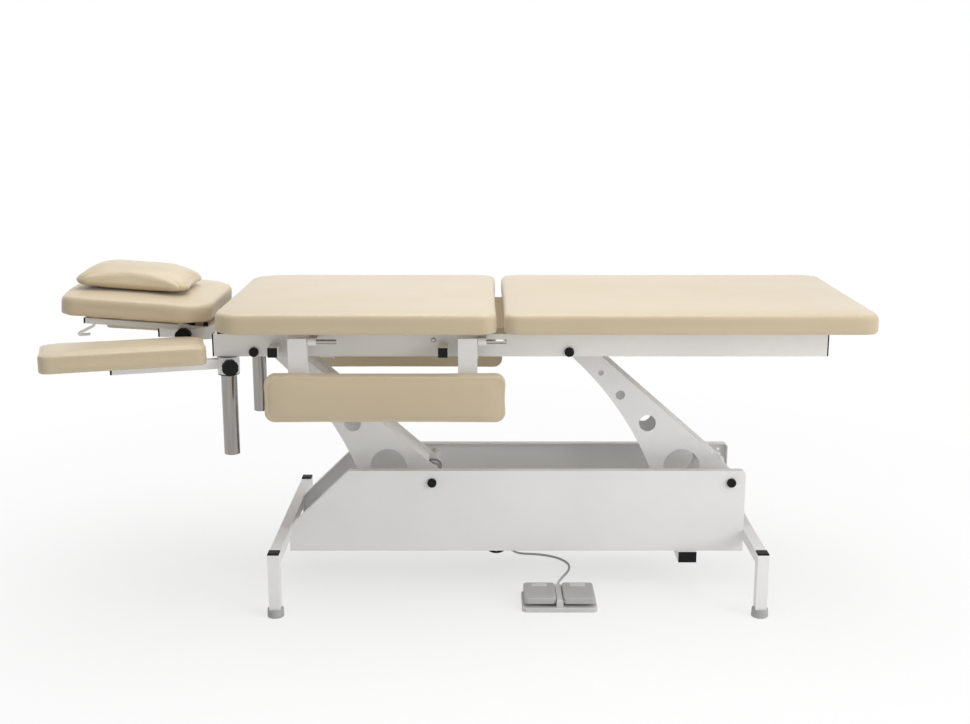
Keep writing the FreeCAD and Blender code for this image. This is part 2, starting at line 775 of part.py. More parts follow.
# Upper frame
def make_upper_frame():
    rail_end = rail_head_x + rail_length
    rail_z = rail_bottom + rail_height / 2
    rail = tube_x(rail_head_x, rail_end, -rail_y, rail_z, rail_width, rail_height)
    for x in (head_pivot_x - arm_reach, foot_pivot_x - arm_reach):
        rail = rail.cut(rod_y(x, upper_pivot_z, pivot_bolt_radius + running_gap, -rail_face_y, 0))
    save("rails", rail, mirrored(rail))
    plugs = []
    for x, side in ((rail_head_x, -1), (rail_end, 1)):
        plugs.append(plug_at(x, -rail_y, rail_z, rail_width, rail_height, (side, 0, 0), rail_cap))
    stubs = []
    stub_z = upper_pivot_z + stub_above_pivot
    stub_end = rail_face_y + stub_reach
    for x in stub_x:
        stubs.append(tube_y(-stub_end, -rail_face_y, x, stub_z, stub_tube, stub_tube))
        plugs.append(plug_at(x, -stub_end, stub_z, stub_tube, stub_tube, (0, -1, 0)))
    save("support_stubs", *both_sides(stubs))
    tongue_x = rail_head_x + cross_tube_width - tongue_reach
    tongue_z = rail_top - cross_tube_height - tongue_tube / 2
    tongue_plug = plug_at(tongue_x, 0, tongue_z, tongue_tube, tongue_tube, (-1, 0, 0))
    save("frame_plugs", *both_sides(plugs), tongue_plug)
    cross_z = rail_top - cross_tube_height / 2
    section = (cross_tube_width, cross_tube_height)
    span = (-rail_inner_y, rail_inner_y)
    save("frame_cross_tubes", *[tube_y(*span, x, cross_z, *section) for x in cross_tube_x])
    upper_x = [pivot - arm_reach for pivot in (head_pivot_x, foot_pivot_x)]
    save("upper_pivot_bolts", *pivot_bolts(upper_pivot_z, *upper_x, rail_face_y, upper_bolt_reach))

    lugs = []
    for x in bracket_x:
        x0 = x + bracket_width / 2 + lug_gap
        low = armrest_pin_z - lug_height / 2
        lug = block(x0, x0 + lug_length, -armrest_pin_y, -rail_face_y, low, low + lug_height)
        lug = lug.fuse(rod_x(-armrest_pin_y, armrest_pin_z, lug_radius, x0, x0 + lug_length)).removeSplitter()
        bore = rod_x(-armrest_pin_y, armrest_pin_z, armrest_pin_radius + running_gap, x0, x0 + lug_length)
        lugs.append(lug.cut(bore))
    save("armrest_lugs", *both_sides(lugs))

    half_board = cushion_width / 2 - board_side_inset
    # The two boards meet under the gap between the cushions.
    meet_x = (seat_foot_x + leg_head_x) / 2
    seat_board = (seat_head_x + board_end_inset, meet_x - board_gap / 2)
    leg_board = (meet_x + board_gap / 2, leg_head_x + leg_length - board_end_inset)
    save("cushion_boards", *[
        block(*span, -half_board, half_board, rail_top, cushion_bottom) for span in (seat_board, leg_board)])
    spacer_x = seat_head_x + spacer_overlap - spacer_length
    spacer = block(spacer_x, spacer_x + spacer_length, -rail_face_y, -rail_inner_y, rail_top, cushion_bottom)
    save("rail_spacers", *both_sides([spacer]))
    for name, x0, length, corners in (
            ("seat_cushion", seat_head_x, seat_length,
             [cushion_corner, cushion_corner, seat_head_corner, seat_head_corner]),
            ("leg_cushion", leg_head_x, leg_length, [cushion_corner] * 4)):
        shape = cushion(length, cushion_width, cushion_thickness, cushion_edge, cushion_top_edge,
                        cushion_crown, corners)
        save(name, placed(shape, x0 + length / 2, 0, cushion_bottom))

    column_bottom = rail_bottom - column_length
    column = rod_z(column_x, -rail_y, column_radius, column_bottom, rail_bottom)
    column = column.makeFillet(2.0, [edge for edge in column.Edges if edge.BoundBox.ZMax < column_bottom + 1])
    hollow = rod_z(column_x, -rail_y, column_radius - column_wall, column_bottom + column_wall, rail_bottom)
    save("arm_columns", *both_sides([column.cut(hollow)]))


# Side armrests, made at the front and mirrored to the rear
def make_side_armrests():
    brackets = []
    pins = []
    half = bracket_width / 2
    low = armrest_pad_top - bracket_below_pad_top
    for x in bracket_x:
        top = armrest_pin_z + lug_radius
        inner_y = bracket_flange - armrest_face_y
        bracket = block(x - half, x + half, -armrest_face_y, inner_y, low, top)
        long_edges = [edge for edge in bracket.Edges if edge.BoundBox.XLength > half]
        inner_edges = [edge for edge in long_edges if edge.BoundBox.YMin > inner_y - 1]
        bracket = bracket.makeFillet(lug_radius - side_gap,
                                     [edge for edge in inner_edges if edge.BoundBox.ZMin > top - 0.1])
        inner = half - bracket_sheet
        hollow = block(x - inner, x + inner, bracket_sheet - armrest_face_y, 0, low, top)
        bore = rod_x(-armrest_pin_y, armrest_pin_z, armrest_pin_radius + running_gap, x - half, x + half)
        brackets.append(bracket.cut([hollow, bore]))
        pin_end = x + half + lug_gap + lug_length + armrest_pin_free
        pins.append(rod_x(-armrest_pin_y, armrest_pin_z, armrest_pin_radius, x - half, pin_end))
    corners = [armrest_corner] * 4
    pad = cushion(armrest_pad_length, armrest_pad_height, armrest_pad_thickness, cushion_edge,
                  armrest_pad_edge, armrest_pad_crown, corners)
    pad = turned(pad, (0, 0, 0), (1, 0, 0), 90)
    pad = placed(pad, armrest_pad_x, -armrest_face_y, armrest_pad_top - armrest_pad_height / 2)
    for piece, shapes in (("brackets", brackets), ("pins", pins), ("pad", [pad])):
        save("front_armrest_" + piece, *shapes)
        save("rear_armrest_" + piece, *[mirrored(shape) for shape in shapes])


# Head-end armrests: made along -X from the column's axis, then turned outward and set on the column
def clamp_knob():
    # Knob in its own frame: its back on z = 0, its stud pointing down.
    head = Part.makeCylinder(knob_radius, knob_height)
    head = head.makeFillet(3.0, [edge for edge in head.Edges if edge.BoundBox.ZMin > knob_height - 0.1])
    for step in range(8):
        turn = math.radians(45 * step)
        reach = knob_radius + 4
        head = head.cut(rod_z(reach * math.cos(turn), reach * math.sin(turn), 5.5, 0, knob_height))
    return head


def make_head_arms():
    top = rail_bottom - sleeve_gap
    bottom = top - sleeve_height
    bush_bore = column_radius + running_gap
    bush_outer = column_radius + bush_wall
    sleeve_outer = bush_outer + sleeve_wall
    tube_top = top - head_arm_tube_drop
    tube_mid = tube_top - head_arm_tube / 2
    boss_end = sleeve_outer + boss_length
    boss_z = (top + bottom) / 2
    bush = rod_z(0, 0, bush_outer, bottom - bush_flange, top)
    flange = rod_z(0, 0, sleeve_outer - side_gap, bottom - bush_flange, bottom - running_gap)
    bush = bush.fuse(flange).removeSplitter()
    bush = bush.cut(rod_z(0, 0, bush_bore, bottom - bush_flange, top))
    half = head_arm_tube / 2
    arm = rod_z(0, 0, sleeve_outer, bottom, top)
    arm = arm.fuse([block(-head_arm_reach, -bush_outer - 2, -half, half, tube_top - head_arm_tube, tube_top),
                    rod_y(0, boss_z, boss_radius, -boss_end, -bush_outer - 2)]).removeSplitter()
    bore = half - tube_wall
    arm = arm.cut([rod_z(0, 0, bush_outer + running_gap, bottom, top),
                   block(-head_arm_reach, -sleeve_outer - 1, -bore, bore, tube_mid - bore, tube_mid + bore),
                   rod_y(0, boss_z, knob_stud_radius + running_gap, -boss_end, -bush_outer)])
    arm_plug = plug_at(-head_arm_reach, 0, tube_mid, head_arm_tube, head_arm_tube, (-1, 0, 0))
    pad = cushion(head_pad_length, head_pad_width, head_pad_thickness, cushion_edge, armrest_pad_edge,
                  armrest_pad_crown, [armrest_corner] * 4)
    pad = placed(pad, -head_pad_centre, 0, tube_top)
    stud_reach = boss_end - bush_outer - 1
    knob = clamp_knob().fuse(rod_z(0, 0, knob_stud_radius, -stud_reach, 0)).removeSplitter()
    knob = placed(turned(knob, (0, 0, 0), (1, 0, 0), 90), 0, -boss_end - knob_gap, boss_z)
    pieces = {"bush": bush, "tube": arm, "plug": arm_plug, "pad": pad, "knob": knob}
    for name, shape in pieces.items():
        front = placed(turned(shape, (0, 0, 0), (0, 0, 1), head_arm_yaw), column_x, -rail_y, 0)
        save("front_head_arm_" + name, front)
        save("rear_head_arm_" + name, placed(mirrored(front), 0, 0, -rear_arm_drop))


# Headrest: drawn level about its hinge, then tilted to its resting angle
def make_headrest():
    hinge_x = rail_head_x - hinge_ahead
    knob_x = hinge_x + knob_from_hinge_x
    knob_z = hinge_z + knob_from_hinge_z
    tube_outer_y = headrest_tube_y + headrest_tube_width / 2
    tube_inner_y = headrest_tube_y - headrest_tube_width / 2
    frame_top = hinge_z + headrest_tube_height / 2
    cushion_z = frame_top + headrest_board
    head_x = hinge_x - headrest_tube_length

    def tilted(shape):
        return turned(shape, (hinge_x, 0, hinge_z), (0, 1, 0), headrest_tilt)

    pin_reach = tube_outer_y + 2
    save("headrest_hinge_pin", rod_y(hinge_x, hinge_z, hinge_pin_radius, -pin_reach, pin_reach))

    side = tube_x(head_x, hinge_x + headrest_tube_tail, -headrest_tube_y, hinge_z, headrest_tube_width,
                  headrest_tube_height)
    side = side.cut(rod_y(hinge_x, hinge_z, hinge_pin_radius + running_gap, -pin_reach, 0))
    members = both_sides([side])
    cross_half = headrest_tube_width / 2
    handle_x = head_x + cross_half
    for x in (handle_x, hinge_x - headrest_cross_from_hinge):
        members.append(tube_y(-tube_inner_y, tube_inner_y, x, hinge_z, headrest_tube_width,
                              headrest_tube_height))
    quadrant = tilt_quadrant((hinge_x, hinge_z), (knob_x, knob_z), -tube_outer_y - quadrant_plate)
    save("headrest_frame", *[tilted(member) for member in members], quadrant)
    section = (headrest_tube_width, headrest_tube_height)
    end_plug = plug_at(head_x, -headrest_tube_y, hinge_z, *section, (-1, 0, 0))
    save("headrest_plugs", *[tilted(shape) for shape in both_sides([end_plug])])

    board_half = headrest_board_width / 2
    board_x = hinge_x - ear_radius - 7
    board = block(head_x, board_x, -board_half, board_half, frame_top, cushion_z)
    save("headrest_board", tilted(board))
    head_corners = [headrest_foot_corner, headrest_foot_corner, headrest_corner, headrest_corner]
    shape = cushion(headrest_length, headrest_width, headrest_thickness, cushion_edge, cushion_top_edge,
                    cushion_crown, head_corners, (0, 0, 0, headrest_bow))
    middle_x = hinge_x + headrest_overhang - headrest_length / 2
    save("headrest_cushion", tilted(placed(shape, middle_x, 0, cushion_z)))
    pillow_z = cushion_z + headrest_thickness + rest_gap
    stuffed = turned(pillow(), (0, 0, 0), (0, 0, 1), pillow_turn)
    save("pillow", tilted(placed(stuffed, hinge_x - pillow_from_hinge, pillow_y, pillow_z)))
    low = hinge_z - headrest_tube_height / 2
    grip_x = handle_x - handle_lean
    path = rounded_path([
        (handle_x, handle_y, low),
        (handle_x, handle_y, low - 0.3 * handle_drop),
        (grip_x, handle_y, low - handle_drop),
        (grip_x + handle_hook_back, handle_y + handle_hook_across, low - handle_drop),
    ])[0]
    save("headrest_handle", tilted(swept_rod(path, handle_radius)))

    plate_y = -tube_outer_y - quadrant_plate - knob_gap - ear_plate
    root = (rail_head_x - ear_radius, rail_top - cross_tube_height / 2)
    clamp = link_plate((knob_x, knob_z), clamp_radius, root, clamp_root_radius, plate_y, ear_plate)
    behind = block(rail_head_x, rail_head_x + clamp_root_radius, plate_y, 0, rail_bottom, cushion_bottom)
    clamp = clamp.cut(behind)
    clamp = clamp.cut(rod_y(knob_x, knob_z, knob_stud_radius + running_gap, plate_y, 0))
    ear_y = tube_inner_y - side_gap - ear_plate
    ear = rod_y(hinge_x, hinge_z, ear_radius, ear_y, ear_y + ear_plate)
    root_low = min(hinge_z - ear_radius, rail_top - ear_root)
    root = block(hinge_x, rail_head_x, ear_y, ear_y + ear_plate, root_low, max(hinge_z, rail_top))
    ear = ear.fuse(root).removeSplitter()
    ear = ear.cut(rod_y(hinge_x, hinge_z, hinge_pin_radius + running_gap, 0, tube_outer_y))
    tongue_z = rail_top - cross_tube_height - tongue_tube / 2
    tongue_end = rail_head_x + cross_tube_width
    tongue = tube_x(tongue_end - tongue_reach, tongue_end, 0, tongue_z, tongue_tube, tongue_tube)
    save("headrest_bracket", ear, mirrored(ear), clamp, tongue)

    stud = ear_plate + quadrant_plate + knob_gap
    knob = clamp_knob().fuse(rod_z(0, 0, knob_stud_radius, -stud, 0)).removeSplitter()
    knob = turned(knob, (0, 0, 0), (1, 0, 0), 90)
    save("tilt_knob", placed(knob, knob_x, plate_y - knob_gap, knob_z))


def tilt_quadrant(hinge, knob, y0):
    # Sector plate under the headrest, slotted round the hinge for the clamp knob's stud.
    dx = knob[0] - hinge[0]
    dz = knob[1] - hinge[1]
    radius = math.hypot(dx, dz)
    middle = math.degrees(math.atan2(dz, dx))
    slot = knob_stud_radius + slot_play
    rim = slot + quadrant_margin

    def sector(inner, outer, first, last):
        def on(r, degrees):
            turn = math.radians(degrees)
            return (hinge[0] + r * math.cos(turn), 0, hinge[1] + r * math.sin(turn))

        centre = (first + last) / 2
        edges = [
            arc(on(outer, first), on(outer, centre), on(outer, last)),
            line(on(outer, last), on(inner, last)),
            arc(on(inner, last), on(inner, centre), on(inner, first)),
            line(on(inner, first), on(outer, first)),
        ]
        return flat_plate(edges, y0, quadrant_plate), on(radius, first), on(radius, last)

    margin = math.degrees(rim / radius)
    low = middle - tilt_down
    high = middle + tilt_up
    plate = sector(radius - rim, radius + rim, low - margin, high + margin)[0]
    opening, start, end = sector(radius - slot, radius + slot, low, high)
    ends = [rod_y(point[0], point[2], slot, y0, y0 + quadrant_plate) for point in (start, end)]
    return plate.cut([opening] + ends)


def pillow():
    # Stuffed pillow: steep sides drawn in between the corners, broad domed top.
    half = pillow_width / 2
    levels = [(0, 0.12), (0.1, 0.04), (0.3, 0), (0.5, 0.02), (0.68, 0.1), (0.83, 0.25), (0.94, 0.45),
              (1, 0.7)]
    wires = []
    for share, draw in levels:
        inset = draw * half
        radius = max(pillow_corner - 0.4 * inset, pillow_edge)
        bow = -2 * cushion_draw * (1 - draw)
        z = share * pillow_thickness
        wires.append(outline(pillow_length / 2 - inset, half - inset, [radius] * 4, [bow] * 4, z))
    return Part.makeLoft(wires, True, True)


os.makedirs("parts", exist_ok=True)
make_base()
make_arms()
make_actuator()
make_control()
make_foot_switch()
make_upper_frame()
make_side_armrests()
make_head_arms()
make_headrest()
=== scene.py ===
import bpy
import bmesh
import json
import math
import numpy as np
from mathutils import Matrix, Vector, noise
from mathutils.bvhtree import BVHTree


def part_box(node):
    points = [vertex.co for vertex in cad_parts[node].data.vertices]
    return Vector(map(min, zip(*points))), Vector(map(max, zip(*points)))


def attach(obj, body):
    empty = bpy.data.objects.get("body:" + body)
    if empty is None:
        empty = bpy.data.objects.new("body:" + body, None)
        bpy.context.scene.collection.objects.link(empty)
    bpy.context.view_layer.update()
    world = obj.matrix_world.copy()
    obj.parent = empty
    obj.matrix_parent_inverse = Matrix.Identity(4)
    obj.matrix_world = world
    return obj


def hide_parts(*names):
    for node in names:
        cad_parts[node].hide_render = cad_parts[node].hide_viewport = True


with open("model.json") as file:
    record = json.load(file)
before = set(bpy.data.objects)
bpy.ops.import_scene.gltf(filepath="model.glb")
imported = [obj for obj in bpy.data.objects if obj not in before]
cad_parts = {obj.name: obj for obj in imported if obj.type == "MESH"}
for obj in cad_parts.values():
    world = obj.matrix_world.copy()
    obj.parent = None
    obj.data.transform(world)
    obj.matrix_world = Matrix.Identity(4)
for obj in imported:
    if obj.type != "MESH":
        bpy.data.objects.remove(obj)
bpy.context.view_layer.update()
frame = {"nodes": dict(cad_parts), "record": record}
scene = bpy.context.scene
scene.view_settings.view_transform = "Standard"
nodes = frame["nodes"]
print("frame loaded:", len(nodes), "nodes")


# small helpers used by every piece
def linkObject(name, data):
    piece = bpy.data.objects.new(name, data)
    scene.collection.objects.link(piece)
    return piece


def meshFromBmesh(name, bm, smooth=True):
    mesh = bpy.data.meshes.new(name)
    bm.to_mesh(mesh)
    bm.free()
    for face in mesh.polygons:
        face.use_smooth = smooth
    return mesh


def paintPiece(piece, material):
    piece.data.materials.clear()
    piece.data.materials.append(material)


def settle(piece, body, slotName, *replaced):
    # hands a finished piece to the body that carries it
    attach(piece, body)
    if replaced:
        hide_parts(*replaced)
    return piece


# camera at the photographed angle
cameraView = {
    "place": (0.0698, -3.5492, 1.4189),  # metres
    "pitchDown": 12.65,                  # degrees below level
    "focalPixels": 1288.5,
    "imageWidth": 970.0,
    "sensorWidth": 36.0,                 # millimetres
    "reach": 100.0,                      # metres
}


def addCamera(view):
    data = bpy.data.cameras.new("viewCamera")
    data.sensor_fit = "HORIZONTAL"
    data.sensor_width = view["sensorWidth"]
    data.lens = view["sensorWidth"] * view["focalPixels"] / view["imageWidth"]
    data.clip_end = view["reach"]
    camera = linkObject("viewCamera", data)
    camera.location = view["place"]
    camera.rotation_euler = (math.radians(90.0 - view["pitchDown"]), 0.0, 0.0)
    scene.camera = camera


addCamera(cameraView)
print("camera placed")


# node helpers for the materials
def newMaterial(name):
    material = bpy.data.materials.new(name)
    material.use_nodes = True
    tree = material.node_tree
    shader = tree.nodes["Principled BSDF"]
    coordinates = tree.nodes.new("ShaderNodeTexCoord")
    return material, tree, shader, coordinates.outputs["Object"]


def addNoise(tree, place, scale, detail=3.0, roughness=0.55):
    node = tree.nodes.new("ShaderNodeTexNoise")
    node.inputs["Scale"].default_value = scale
    node.inputs["Detail"].default_value = detail
    node.inputs["Roughness"].default_value = roughness
    tree.links.new(place, node.inputs["Vector"])
    return node.outputs["Fac"]


def addCells(tree, place, scale, feature="F1"):
    node = tree.nodes.new("ShaderNodeTexVoronoi")
    node.feature = feature
    node.inputs["Scale"].default_value = scale
    tree.links.new(place, node.inputs["Vector"])
    return node.outputs["Distance"]


def stretched(tree, place, scale):
    node = tree.nodes.new("ShaderNodeMapping")
    node.inputs["Scale"].default_value = scale
    tree.links.new(place, node.inputs["Vector"])
    return node.outputs["Vector"]


def ranged(tree, value, low, high, fromLow=0.3, fromHigh=0.7):
    node = tree.nodes.new("ShaderNodeMapRange")
    node.inputs["From Min"].default_value = fromLow
    node.inputs["From Max"].default_value = fromHigh
    node.inputs["To Min"].default_value = low
    node.inputs["To Max"].default_value = high
    tree.links.new(value, node.inputs["Value"])
    return node.outputs["Result"]


def mixedColour(tree, factor, first, second):
    node = tree.nodes.new("ShaderNodeMix")
    node.data_type = "RGBA"
    tree.links.new(factor, node.inputs["Factor"])
    for socket, colour in ((node.inputs["A"], first), (node.inputs["B"], second)):
        if isinstance(colour, (tuple, list)):
            socket.default_value = (*colour, 1.0)
        else:
            tree.links.new(colour, socket)
    return node.outputs["Result"]


def mathNode(tree, operation, first, second):
    node = tree.nodes.new("ShaderNodeMath")
    node.operation = operation
    for socket, value in zip(node.inputs, (first, second)):
        if isinstance(value, (int, float)):
            socket.default_value = value
        else:
            tree.links.new(value, socket)
    return node.outputs["Value"]


def blended(tree, first, firstShare, second, secondShare):
    firstPart = mathNode(tree, "MULTIPLY", first, firstShare)
    secondPart = mathNode(tree, "MULTIPLY", second, secondShare)
    return mathNode(tree, "ADD", firstPart, secondPart)


def addBump(tree, shader, height, distance, strength=1.0, normal=None):
    node = tree.nodes.new("ShaderNodeBump")
    node.inputs["Strength"].default_value = strength
    node.inputs["Distance"].default_value = distance
    tree.links.new(height, node.inputs["Height"])
    if normal is not None:
        tree.links.new(normal, node.inputs["Normal"])
    tree.links.new(node.outputs["Normal"], shader.inputs["Normal"])
    return node.outputs["Normal"]


def softEdges(tree, radius):
    node = tree.nodes.new("ShaderNodeBevel")
    node.samples = 4
    node.inputs["Radius"].default_value = radius
    return node.outputs["Normal"]


# finishes, one function each
def makeUpholstery():
    # smooth vinyl cover: fine pebble grain, slight tone drift, soft sheen
    finish = {"colour": (0.590, 0.490, 0.335), "shade": (0.565, 0.465, 0.312), "driftPerMetre": 3.2,
              "specklePerMetre": 260.0, "driftShare": 0.75, "speckleShare": 0.25,
              "roughLow": 0.30, "roughHigh": 0.40, "grainPerMetre": 620.0, "creasePerGrain": 0.45,
              "pebbleShare": 0.7, "creaseShare": 0.5, "grainDepth": 0.00020, "grainStrength": 0.55,
              "sheen": 0.30, "sheenRough": 0.45}
    material, tree, shader, place = newMaterial("beigeVinyl")
    drift = addNoise(tree, place, finish["driftPerMetre"], 4.0)
    speckle = addNoise(tree, place, finish["specklePerMetre"], 2.0)
    blend = blended(tree, drift, finish["driftShare"], speckle, finish["speckleShare"])
    tint = ranged(tree, blend, 0.0, 1.0, 0.35, 0.65)
    tree.links.new(mixedColour(tree, tint, finish["colour"], finish["shade"]), shader.inputs["Base Color"])
    tree.links.new(ranged(tree, drift, finish["roughLow"], finish["roughHigh"]), shader.inputs["Roughness"])
    pebble = addCells(tree, place, finish["grainPerMetre"], "SMOOTH_F1")
    crease = addNoise(tree, place, finish["grainPerMetre"] * finish["creasePerGrain"], 4.0)
    height = blended(tree, pebble, finish["pebbleShare"], crease, finish["creaseShare"])
    addBump(tree, shader, height, finish["grainDepth"], finish["grainStrength"])
    shader.inputs["Sheen Weight"].default_value = finish["sheen"]
    shader.inputs["Sheen Roughness"].default_value = finish["sheenRough"]
    return material


def makeThread():
    finish = {"colour": (0.62, 0.51, 0.35), "shade": (0.47, 0.37, 0.235), "twistPerMetre": 1400.0,
              "twistStretch": (1.0, 1.0, 3.0), "twistDepth": 0.0002, "twistStrength": 0.7, "rough": 0.7}
    material, tree, shader, place = newMaterial("beigeThread")
    twist = addNoise(tree, stretched(tree, place, finish["twistStretch"]), finish["twistPerMetre"], 2.0)
    tint = ranged(tree, twist, 0.0, 1.0)
    tree.links.new(mixedColour(tree, tint, finish["colour"], finish["shade"]), shader.inputs["Base Color"])
    addBump(tree, shader, twist, finish["twistDepth"], finish["twistStrength"])
    shader.inputs["Roughness"].default_value = finish["rough"]
    return material


def makePaint(name, colour, shade, rough, edge, gloss=0.5):
    # powder coat: orange-peel surface, faint unevenness, softened metal edges
    coat = {"driftPerMetre": 5.0, "hazePerMetre": 40.0, "smoother": 0.05, "rougher": 0.06,
            "peelPerMetre": 520.0, "peelDepth": 0.00012, "peelStrength": 0.45}
    material, tree, shader, place = newMaterial(name)
    drift = addNoise(tree, place, coat["driftPerMetre"], 3.0)
    tint = ranged(tree, drift, 0.0, 1.0, 0.35, 0.65)
    tree.links.new(mixedColour(tree, tint, colour, shade), shader.inputs["Base Color"])
    haze = addNoise(tree, place, coat["hazePerMetre"])
    roughness = ranged(tree, haze, rough - coat["smoother"], rough + coat["rougher"])
    tree.links.new(roughness, shader.inputs["Roughness"])
    shader.inputs["Specular IOR Level"].default_value = gloss
    peel = addNoise(tree, place, coat["peelPerMetre"], 2.0)
    addBump(tree, shader, peel, coat["peelDepth"], coat["peelStrength"], softEdges(tree, edge))
    return material


def makePlastic(name, colour, shade, rough, grainPerMetre, edge, gloss=0.5):
    # moulded plastic with a spark-eroded grain
    mould = {"driftPerMetre": 18.0, "smoother": 0.06, "rougher": 0.08, "grainDepth": 0.00015,
             "grainStrength": 0.5}
    material, tree, shader, place = newMaterial(name)
    tint = ranged(tree, addNoise(tree, place, mould["driftPerMetre"], 3.0), 0.0, 1.0)
    tree.links.new(mixedColour(tree, tint, colour, shade), shader.inputs["Base Color"])
    shader.inputs["Specular IOR Level"].default_value = gloss
    grain = addNoise(tree, place, grainPerMetre, 3.0, 0.65)
    roughness = ranged(tree, grain, rough - mould["smoother"], rough + mould["rougher"])
    tree.links.new(roughness, shader.inputs["Roughness"])
    addBump(tree, shader, grain, mould["grainDepth"], mould["grainStrength"], softEdges(tree, edge))
    return material


def makeMetal(name, colour, shade, rough, streak, depth):
    # bare or plated metal: streaks follow the way the piece was turned or drawn
    plate = {"hazePerMetre": 30.0, "smoother": 0.75, "rougher": 1.35, "lineStrength": 0.4}
    material, tree, shader, place = newMaterial(name)
    lines = addNoise(tree, stretched(tree, place, streak), 1.0, 4.0, 0.6)
    haze = addNoise(tree, place, plate["hazePerMetre"], 3.0)
    tint = ranged(tree, lines, 0.0, 1.0)
    tree.links.new(mixedColour(tree, tint, colour, shade), shader.inputs["Base Color"])
    roughness = ranged(tree, haze, rough * plate["smoother"], rough * plate["rougher"])
    tree.links.new(roughness, shader.inputs["Roughness"])
    shader.inputs["Metallic"].default_value = 1.0
    addBump(tree, shader, lines, depth, plate["lineStrength"])
    return material


def makeRubber(name, colour, shade):
    skin = {"dustPerMetre": 22.0, "grainPerMetre": 800.0, "roughLow": 0.62, "roughHigh": 0.8,
            "grainDepth": 0.0002, "grainStrength": 0.5}
    material, tree, shader, place = newMaterial(name)
    dust = addNoise(tree, place, skin["dustPerMetre"], 5.0, 0.65)
    tint = ranged(tree, dust, 0.0, 1.0)
    tree.links.new(mixedColour(tree, tint, colour, shade), shader.inputs["Base Color"])
    grain = addNoise(tree, place, skin["grainPerMetre"], 2.0)
    tree.links.new(ranged(tree, dust, skin["roughLow"], skin["roughHigh"]), shader.inputs["Roughness"])
    addBump(tree, shader, grain, skin["grainDepth"], skin["grainStrength"])
    return material


def makeBoard():
    # plywood board in its lining cloth
    lining = {"colour": (0.50, 0.40, 0.265), "shade": (0.40, 0.315, 0.20), "across": 1500.0, "along": 90.0,
              "weaveDepth": 0.0003, "weaveStrength": 0.5, "rough": 0.85}
    material, tree, shader, place = newMaterial("boardLining")
    across, along = lining["across"], lining["along"]
    weft = addNoise(tree, stretched(tree, place, (across, along, along)), 1.0, 2.0)
    warp = addNoise(tree, stretched(tree, place, (along, across, along)), 1.0, 2.0)
    weave = mathNode(tree, "ADD", weft, warp)
    tint = ranged(tree, weave, 0.0, 1.0, 0.7, 1.3)
    tree.links.new(mixedColour(tree, tint, lining["colour"], lining["shade"]), shader.inputs["Base Color"])
    addBump(tree, shader, weave, lining["weaveDepth"], lining["weaveStrength"])
    shader.inputs["Roughness"].default_value = lining["rough"]
    return material


finishes = {
    "upholstery": makeUpholstery(),
    "thread": makeThread(),
    "whitePaint": makePaint("whitePowderCoat", (0.87, 0.865, 0.855), (0.84, 0.835, 0.825), 0.34, 0.0012),
    "blackPaint": makePaint("blackPaint", (0.006, 0.006, 0.0065), (0.010, 0.010, 0.0105),
                            0.48, 0.001, 0.18),
    "blackPlastic": makePlastic("blackPlastic", (0.005, 0.005, 0.0055), (0.009, 0.009, 0.0095),
                                0.52, 900.0, 0.0008, 0.18),
    "greyPlastic": makePlastic("paleGreyPlastic", (0.66, 0.66, 0.655), (0.61, 0.61, 0.605),
                               0.44, 700.0, 0.001),
    "pedalPlastic": makePlastic("pedalGreyPlastic", (0.50, 0.50, 0.492), (0.45, 0.45, 0.443),
                                0.48, 520.0, 0.001),
    "labelPlastic": makePlastic("labelPlastic", (0.72, 0.72, 0.715), (0.68, 0.68, 0.675),
                                0.35, 400.0, 0.0004),
    "chrome": makeMetal("chromePlate", (0.34, 0.325, 0.31), (0.26, 0.245, 0.23),
                        0.12, (220.0, 220.0, 6.0), 0.00004),
    "pinSteel": makeMetal("brightPin", (0.46, 0.45, 0.43), (0.36, 0.35, 0.335),
                          0.22, (8.0, 300.0, 300.0), 0.00005),
    "steel": makeMetal("turnedSteel", (0.56, 0.56, 0.57), (0.45, 0.45, 0.46),
                       0.30, (60.0, 400.0, 60.0), 0.00008),
    "castAlloy": makeMetal("castAlloy", (0.30, 0.305, 0.31), (0.23, 0.235, 0.24),
                           0.48, (180.0, 180.0, 180.0), 0.0002),
    "rubber": makeRubber("greyRubber", (0.46, 0.46, 0.46), (0.39, 0.39, 0.392)),
    "cordCover": makeRubber("greyCordCover", (0.58, 0.58, 0.575), (0.52, 0.52, 0.517)),
    "board": makeBoard(),
}
slotFinish = {"white_paint": "whitePaint", "black_plastic": "blackPlastic", "black_metal": "blackPaint",
              "upholstery": "upholstery", "chrome": "chrome", "steel": "steel", "cast_alloy": "castAlloy",
              "grey_rubber": "rubber", "grey_plastic": "greyPlastic", "pedal_plastic": "pedalPlastic",
              "board": "board"}
for subpart in frame["record"]["subparts"]:
    paintPiece(nodes[subpart["node"]], finishes[slotFinish[subpart["material_slot"]]])
for name in ("front_armrest_pins", "rear_armrest_pins"):
    paintPiece(nodes[name], finishes["pinSteel"])
print("finishes on every node")


# floor, backdrop and soft studio light
studio = {
    "floorReach": 40.0,       # metres
    "floorColour": 0.92,
    "paperPerMetre": 6.0,
    "paperDrift": 0.01,
    "floorRough": 0.9,
    "floorGloss": 0.1,
    "floorGlow": 0.62,        # share of plain white that the lens sees in the floor near the table
    "fadeFrom": 0.4,
    "fadeTo": 2.4,
    "ambient": 0.43,
    "lamps": [
        {"name": "topLamp", "place": (0.1, 0.1, 3.3), "aim": (-0.1, 0.0, 0.6), "size": (4.6, 2.6),
         "power": 87.0},
        {"name": "frontLamp", "place": (3.6, -2.4, 1.7), "aim": (0.4, 0.0, 0.5), "size": (2.4, 2.2),
         "power": 60.0, "mirrored": False},   # its mirror image would burn out the covers seen from behind
    ],
}


